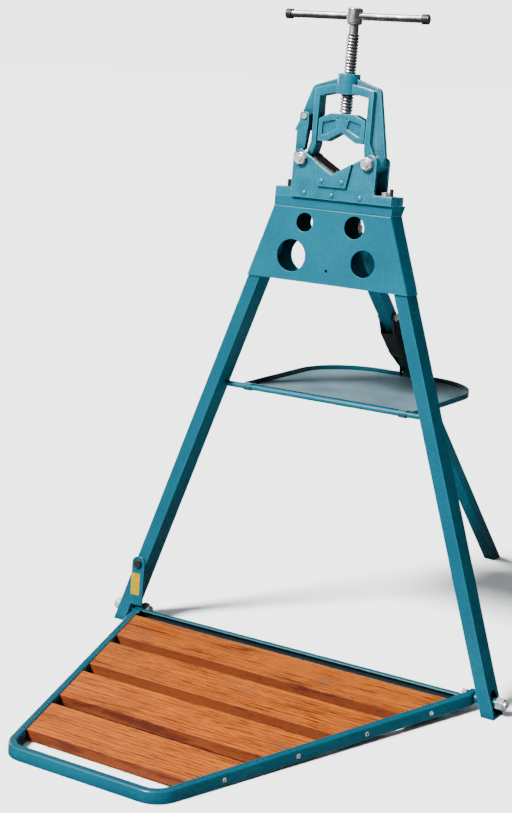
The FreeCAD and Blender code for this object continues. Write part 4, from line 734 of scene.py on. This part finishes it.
def threadPlan():
    plan = Plan("screwThread", {
        "Pitch": "Float", "Length": "Float", "Root": "Float", "Crest": "Float",
        "Crest Width": "Float", "Root Width": "Float", "Core Material": "Material"})
    given = plan.given
    depth = plan.math("SUBTRACT", given["Crest"], given["Root"])
    middle = plan.math("MULTIPLY", plan.math("ADD", given["Crest"], given["Root"]), 0.5)
    turns = plan.math("DIVIDE", given["Length"], given["Pitch"])
    path = plan.add("GeometryNodeCurveSpiral", {
        "Resolution": 36, "Rotations": turns, "Start Radius": middle, "End Radius": middle,
        "Height": given["Length"], "Reverse": False})["Curve"]
    level = plan.add("GeometryNodeSetCurveNormal", {"Curve": path}, mode="Z_UP")["Curve"]
    tooth = plan.add("GeometryNodeCurvePrimitiveQuadrilateral", {
        "Height": depth, "Bottom Width": given["Root Width"], "Top Width": given["Crest Width"],
        "Offset": 0.0}, mode="TRAPEZOID")["Curve"]
    ridge = plan.add("GeometryNodeCurveToMesh", {
        "Curve": level, "Profile Curve": tooth, "Fill Caps": True})
    core = plan.add("GeometryNodeMeshCylinder", {
        "Vertices": 36, "Radius": given["Root"], "Depth": given["Length"]})["Mesh"]
    half = plan.add("ShaderNodeCombineXYZ", {"Z": plan.math("MULTIPLY", given["Length"], 0.5)})[0]
    raised = plan.add("GeometryNodeTransform", {"Geometry": core, "Translation": half})["Geometry"]
    marked = plan.add("GeometryNodeStoreNamedAttribute", {
        "Geometry": raised, "Name": "core", "Value": True},
        data_type="BOOLEAN", domain="FACE")["Geometry"]
    joined = plan.tree.nodes.new("GeometryNodeJoinGeometry")
    plan.tree.links.new(ridge["Mesh"], joined.inputs[0])
    plan.tree.links.new(marked, joined.inputs[0])
    inside = plan.add("GeometryNodeInputNamedAttribute", {"Name": "core"},
                      data_type="BOOLEAN")["Attribute"]
    return plan.end(joined.outputs[0], inside, given["Core Material"])


spread = spreadPlan()
thread = threadPlan()
lean = leaningMatrix()


def spreadParts(name, part, places, material, spin=0.0, seed=1, place=lean):
    # Sets one small part on every spot and takes the part away again.
    pattern = bpy.data.objects.new(name + "Pattern", part)
    bpy.context.scene.collection.objects.link(pattern)
    piece = grow(name, spread, spots(name, places), {
        "Part": pattern, "Material": material, "Spin": spin, "Seed": seed}, place)
    bpy.data.objects.remove(pattern)
    return piece


# rivets

rivets = {
    "radius": 0.0046,
    "rise": 0.0022,
    "pitch": 0.053,
    "baseHeight": 0.8135,
    "shieldAcross": 0.019,
    "shieldHeight": 0.836,
    "plateFront": -0.0045,
    "plateBack": 0.0455,
    "shieldFront": -0.0093,
}


def domeProfile(radius, rise):
    turn = math.pi / 12
    arc = [(radius * math.cos(step * turn), rise * (0.12 + 0.88 * math.sin(step * turn)))
           for step in range(6)]
    return [(radius, 0)] + arc + [(0, rise)]


def addRivets():
    head = lathe("rivetHead", domeProfile(rivets["radius"], rivets["rise"]), 20)
    places = []
    for across in (-rivets["pitch"], 0, rivets["pitch"]):
        places.append(((across, rivets["plateFront"], rivets["baseHeight"]), (0, -1, 0)))
        places.append(((across, rivets["plateBack"], rivets["baseHeight"]), (0, 1, 0)))
    fit(spreadParts("baseRivetHeads", head, places, finishes["casting"]), "frame", "vise_enamel",
        "base_rivets")
    places = [((side * rivets["shieldAcross"], rivets["shieldFront"], rivets["shieldHeight"]),
               (0, -1, 0)) for side in (-1, 1)]
    fit(spreadParts("shieldRivetHeads", head, places, finishes["casting"]), "frame", "vise_enamel",
        "shield_rivets")


addRivets()


# threaded spindle

spindle = {
    "depth": stance["viseDepth"],
    "pitch": 0.005,
    "crest": 0.011,
    "root": 0.0078,
    "crestWidth": 0.0013,
    "rootWidth": 0.0028,
    "low": 0.9495,
    "high": 1.0752,
    "plainOver": 0.0102,            # the plain shank's faces outside this radius give way
    "plainLow": 0.9485,             # between these heights
    "plainHigh": 1.0759,
}


def addSpindle():
    place = lean @ Matrix.Translation((0, spindle["depth"], spindle["low"]))
    screw = grow("spindleThread", thread, bpy.data.meshes.new("spindleThread"), {
        "Pitch": spindle["pitch"], "Length": spindle["high"] - spindle["low"],
        "Root": spindle["root"], "Root Width": spindle["rootWidth"],
        "Crest": spindle["crest"], "Crest Width": spindle["crestWidth"],
        "Material": finishes["thread"], "Core Material": finishes["threadCore"]}, place)
    fit(screw, "spindle", "bright_steel")
    ends = bmesh.new()
    ends.from_mesh(nodes["spindle"].data)
    bmesh.ops.remove_doubles(ends, verts=ends.verts, dist=1e-6)
    back = lean.inverted()
    shank = []
    for face in ends.faces:
        x, y, z = back @ face.calc_center_median()
        away = math.hypot(x, y - spindle["depth"])
        if spindle["plainLow"] < z < spindle["plainHigh"] and away > spindle["plainOver"]:
            shank.append(face)
    bmesh.ops.delete(ends, geom=shank, context="FACES")
    mesh = bpy.data.meshes.new("spindleEnds")
    ends.to_mesh(mesh)
    ends.free()
    smoothTurned(mesh, 30)
    mesh.materials.clear()
    mesh.materials.append(finishes["turned"])
    piece = bpy.data.objects.new("spindleEnds", mesh)
    bpy.context.scene.collection.objects.link(piece)
    fit(piece, "spindle", "bright_steel", "spindle")


addSpindle()


# castings with rounded edges

castEdges = {                       # how wide each node's edges are rounded
    "yoke": 0.0030,
    "upper_jaw": 0.0020,
    "latch_hook": 0.0020,
    "shield_plate": 0.0013,
    "vise_front_plate": 0.0012,
    "vise_rear_plate": 0.0012,
    "vise_base": 0.0012,
}


rounding = {
    "merge": 2e-6,
    "flat": math.radians(0.6),      # faces closer to one plane than this become one
    "sharp": math.radians(34),      # only edges sharper than this are rounded
    "segments": 3,
}


def addCasting(node, width):
    shell = bmesh.new()
    shell.from_mesh(nodes[node].data)
    bmesh.ops.remove_doubles(shell, verts=shell.verts, dist=rounding["merge"])
    bmesh.ops.dissolve_limit(shell, angle_limit=rounding["flat"], verts=shell.verts,
                             edges=shell.edges)
    mesh = bpy.data.meshes.new(node)
    shell.to_mesh(mesh)
    shell.free()
    piece = bpy.data.objects.new("cast_" + node, mesh)
    bpy.context.scene.collection.objects.link(piece)
    bevel = piece.modifiers.new("rounding", "BEVEL")
    bevel.width = width
    bevel.segments = rounding["segments"]
    bevel.limit_method = "ANGLE"
    bevel.angle_limit = rounding["sharp"]
    bevel.use_clamp_overlap = True
    finished = piece.evaluated_get(bpy.context.evaluated_depsgraph_get())
    plain = bpy.data.meshes.new_from_object(finished)
    piece.modifiers.clear()
    plain.materials.clear()
    plain.materials.append(finishes["casting"])
    smoothTurned(plain, 30)
    piece.data = plain
    fit(piece, nodes[node]["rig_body"], "vise_enamel", node)
    print("rounded", node, len(plain.polygons))


for node, width in castEdges.items():
    addCasting(node, width)


# rear bar of the foot board, a channel open to the boards

rearBar = {
    "wall": 0.002,
    "depth": 0.024,
    "height": 0.020,
    "flange": 0.011,                # upper flange, front to back
    "round": 0.002,                 # upper edges
}


def addRearBar():
    corners = [vertex.co for vertex in nodes["footboard_rear_bar"].data.vertices]
    ends = []
    for side in (-1, 1):
        end = [point for point in corners if point.x * side > 0]
        # outer corners: front low, front high, back low, back high
        ends.append([min(end, key=lambda point: near * point.y - up * point.z)
                     for near in (1, -1) for up in (-1, 1)])
    thin, thick = rearBar["wall"] / rearBar["depth"], rearBar["wall"] / rearBar["height"]
    lip = 1 - rearBar["flange"] / rearBar["depth"]
    across, rise = rearBar["round"] / rearBar["depth"], rearBar["round"] / rearBar["height"]
    upper = []
    for center, quarter in ((1 - across, 0), (lip + across, 1)):
        for step in range(5):
            angle = (quarter + step / 4) * math.pi / 2
            upper.append((center + across * math.cos(angle), 1 - rise + rise * math.sin(angle)))
    upper[-1] = (lip, 1 - rise)
    outline = [(0, 0), (1, 0), *upper, (lip + 0.001, 1 - thick * 1.001), (1 - thin, 1 - thick),
               (1 - thin, thick), (0, thick)]
    shell = bmesh.new()
    rings = []
    for frontLow, frontHigh, backLow, backHigh in ends:
        rings.append([])
        for back, up in outline:
            low, high = frontLow.lerp(backLow, back), frontHigh.lerp(backHigh, back)
            rings[-1].append(shell.verts.new(low.lerp(high, up)))
    for step in range(len(outline)):
        after = (step + 1) % len(outline)
        face = shell.faces.new((rings[0][step], rings[0][after], rings[1][after], rings[1][step]))
        face.material_index = int(step >= len(outline) - 4)     # inside of the channel, in near-black enamel: painted shade
    for ring in rings:
        shell.faces.new(ring)
    bmesh.ops.recalc_face_normals(shell, faces=shell.faces)
    mesh = bpy.data.meshes.new("rearBarChannel")
    shell.to_mesh(mesh)
    shell.free()
    smoothTurned(mesh, 40)
    mesh.materials.append(finishes["bar"])
    # near-black enamel paints the shade inside the channel
    mesh.materials.append(finishes["channel"])
    piece = bpy.data.objects.new("rearBarChannel", mesh)
    bpy.context.scene.collection.objects.link(piece)
    fit(piece, "footboard", "frame_enamel", "footboard_rear_bar")


addRearBar()


# bolts, nuts and washers

bolts = {
    "viseAcross": 0.0625,
    "viseHeight": 0.870,
    "viseFlats": 0.019,
    "viseHead": 0.008,
    "shank": 0.006,
    "viseLength": 0.062,            # shank behind the head
    "seat": 0.46,                   # radius of the seat, as a share of the flats
    "stud": 0.0016,                 # shank end that stands out of the head
    "groove": 0.0012,               # gap round it
    "chamfer": 0.001,
    "washerRadius": 0.0122,
    "washer": 0.0016,
}


def hexHead(name, flats, height, shank, length):
    # Head up along Z from its seat at zero, shank below it with a chamfered end.
    face, bevel = hexagon["face"] * flats, bolts["chamfer"]
    deep, top = height - bolts["groove"], height + bolts["stud"]
    profile = [(0, -length), (shank - bevel, -length), (shank, bevel - length), (shank, 0),
               (bolts["seat"] * flats, 0), (-1, 0.0004), (-2, height), (face, height),
               (shank + 0.0009, height), (shank + 0.0002, deep), (shank - 0.0002, deep),
               (shank - 0.0002, top - bevel), (shank - 0.0002 - bevel, top), (0, top)]
    return lathe(name, profile, 36, flats, 24)


def ringShape(name, outer, inner, height):
    edge = 0.0003
    profile = [(inner, 0), (outer - edge, 0), (outer, edge), (outer, height - edge),
               (outer - edge, height), (inner, height), (inner, 0)]
    return lathe(name, profile, 32)


def addBolts():
    places = [((side * bolts["viseAcross"], rivets["plateFront"], bolts["viseHeight"]), (0, -1, 0))
              for side in (-1, 1)]
    head = hexHead("viseBoltShape", bolts["viseFlats"], bolts["viseHead"], bolts["shank"],
                   bolts["viseLength"])
    fit(spreadParts("viseBolts", head, places, finishes["zinc"], math.pi / 3, 4), "frame",
        "bright_steel", "vise_bolts")
    rear = [((side * bolts["viseAcross"], rivets["plateBack"], bolts["viseHeight"]), (0, 1, 0))
            for side in (-1, 1)]
    ring = ringShape("viseWasherShape", bolts["washerRadius"], bolts["shank"], bolts["washer"])
    fit(spreadParts("viseWashers", ring, rear, finishes["zinc"]), "frame", "bright_steel")


addBolts()


# small screws that hold the boards to the side bars

boardScrews = {
    "radius": 0.0042,
    "bore": 0.0017,
    "slot": 0.0012,                 # depth of the drive
    "height": 0.0008,
    "up": 0.009,                    # above the boards' underside
    "outside": 0.7,                 # search for the bar starts here, across
}


def screwHead():
    # Raised head with a drive sunk in the middle.
    radius, bore, rise = boardScrews["radius"], boardScrews["bore"], boardScrews["height"]
    deep = rise - boardScrews["slot"]
    profile = [(radius, -0.001), (radius, 0.0001), (0.9 * radius, 0.5 * rise),
               (0.65 * radius, rise), (bore, rise), (0.8 * bore, deep), (0, deep)]
    return lathe("boardScrewShape", profile, 20, 0, 24)


def addBoardScrews():
    bpy.context.view_layer.update()
    bar = nodes["footboard_frame"]
    places = []
    for number in woodTones:
        low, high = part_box(f"board_{number}")
        for side in (-1, 1):
            start = Vector((side * boardScrews["outside"], (low[1] + high[1]) / 2,
                            low[2] + boardScrews["up"]))
            hit, point, normal, _ = bar.ray_cast(start, Vector((-side, 0, 0)))
            if hit:
                places.append((point, normal))
    screws = spreadParts("boardScrews", screwHead(), places, finishes["zinc"], math.pi, 7,
                         place=None)
    fit(screws, "footboard", "bright_steel")
    print("board screws:", len(places))


addBoardScrews()


# blank label on the latch plate

label = {
    "middle": (-0.3385, 0.0757),    # across and up the leaning frame
    "width": 0.0190,
    "height": 0.0410,
    "round": 0.0012,
    "lean": math.radians(-1),
    "front": -0.0008,
    "thickness": 0.0002,
}


def addLabel():
    shell = bmesh.new()
    corners = []
    wide, tall = label["width"] / 2 - label["round"], label["height"] / 2 - label["round"]
    for quarter, (sideways, upward) in enumerate(((1, 1), (-1, 1), (-1, -1), (1, -1))):
        for step in range(5):
            angle = (quarter + step / 4) * math.pi / 2
            across = sideways * wide + label["round"] * math.cos(angle)
            rise = upward * tall + label["round"] * math.sin(angle)
            turned = (across * math.cos(label["lean"]) + rise * math.sin(label["lean"]),
                      rise * math.cos(label["lean"]) - across * math.sin(label["lean"]))
            corners.append(shell.verts.new((label["middle"][0] + turned[0], label["front"],
                                            label["middle"][1] + turned[1])))
    sheet = shell.faces.new(corners)
    thick = bmesh.ops.extrude_face_region(shell, geom=[sheet])["geom"]
    for vertex in [item for item in thick if isinstance(item, bmesh.types.BMVert)]:
        vertex.co.y -= label["thickness"]
    bmesh.ops.recalc_face_normals(shell, faces=shell.faces)
    mesh = bpy.data.meshes.new("blankLabel")
    shell.to_mesh(mesh)
    shell.free()
    mesh.materials.append(finishes["film"])
    mesh.transform(lean)
    piece = bpy.data.objects.new("blankLabel", mesh)
    bpy.context.scene.collection.objects.link(piece)
    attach(piece, "footboard_latch")


addLabel()


# domed, riveted ends of the sliding bar

barEnds = {
    "left": -0.1275,
    "right": 0.1345,
    "height": 1.105,
    "radius": 0.0066,
    "rise": 0.0026,
}


def addBarEnds():
    dome = lathe("barEndShape", domeProfile(barEnds["radius"], barEnds["rise"]), 24)
    places = [((barEnds["left"], spindle["depth"], barEnds["height"]), (-1, 0, 0)),
              ((barEnds["right"], spindle["depth"], barEnds["height"]), (1, 0, 0))]
    fit(spreadParts("barEnds", dome, places, finishes["drawn"]), "tommy_bar", "bright_steel")


addBarEnds()


# weld beads, one ripple beside the next

welds = {
    "pitch": 0.0023,
    "radius": 0.0021,
    "rise": 0.0011,
    "twist": 0.4,                   # how far a ripple may turn by chance
    "sink": 0.0004,                 # below the bar's top
    "bracketAcross": 0.0148,
    "bracketDepth": 0.0503,
    "bracketLow": 0.7385,
    "bracketHigh": 0.7815,
}


def seam(start, end, facing):
    count = max(2, round((end - start).length / welds["pitch"]))
    return [(start.lerp(end, step / count), facing) for step in range(count + 1)]


def addWelds():
    dome = domeProfile(welds["radius"], welds["rise"])
    ripple = lathe("weldRipple", dome[:6:2] + [dome[-1]], 10)
    places = []
    for side in (-1, 1):
        across = side * welds["bracketAcross"]
        places += seam(Vector((across, welds["bracketDepth"], welds["bracketLow"])),
                       Vector((across, welds["bracketDepth"], welds["bracketHigh"])), (side, 1, 0))
    fit(spreadParts("bracketWelds", ripple, places, finishes["head"], welds["twist"], 3), "frame",
        "frame_enamel")
    corners = [vertex.co for vertex in nodes["footboard_rear_bar"].data.vertices]
    places = []
    sink = Vector((0, 0, -welds["sink"]))
    for side in (-1, 1):
        end = sorted((point for point in corners if point.x * side > 0),
                     key=lambda point: -point.z)[:6]
        front = min(end, key=lambda point: point.y - 2 * point.z)
        rear = max(end, key=lambda point: point.y + 2 * point.z)
        places += seam(front + sink, rear + sink, (-side, 0, 1))
    beads = spreadParts("rearBarWelds", ripple, places, finishes["bar"], welds["twist"], 5,
                        place=None)
    fit(beads, "footboard", "frame_enamel")


addWelds()
print("small parts ready")
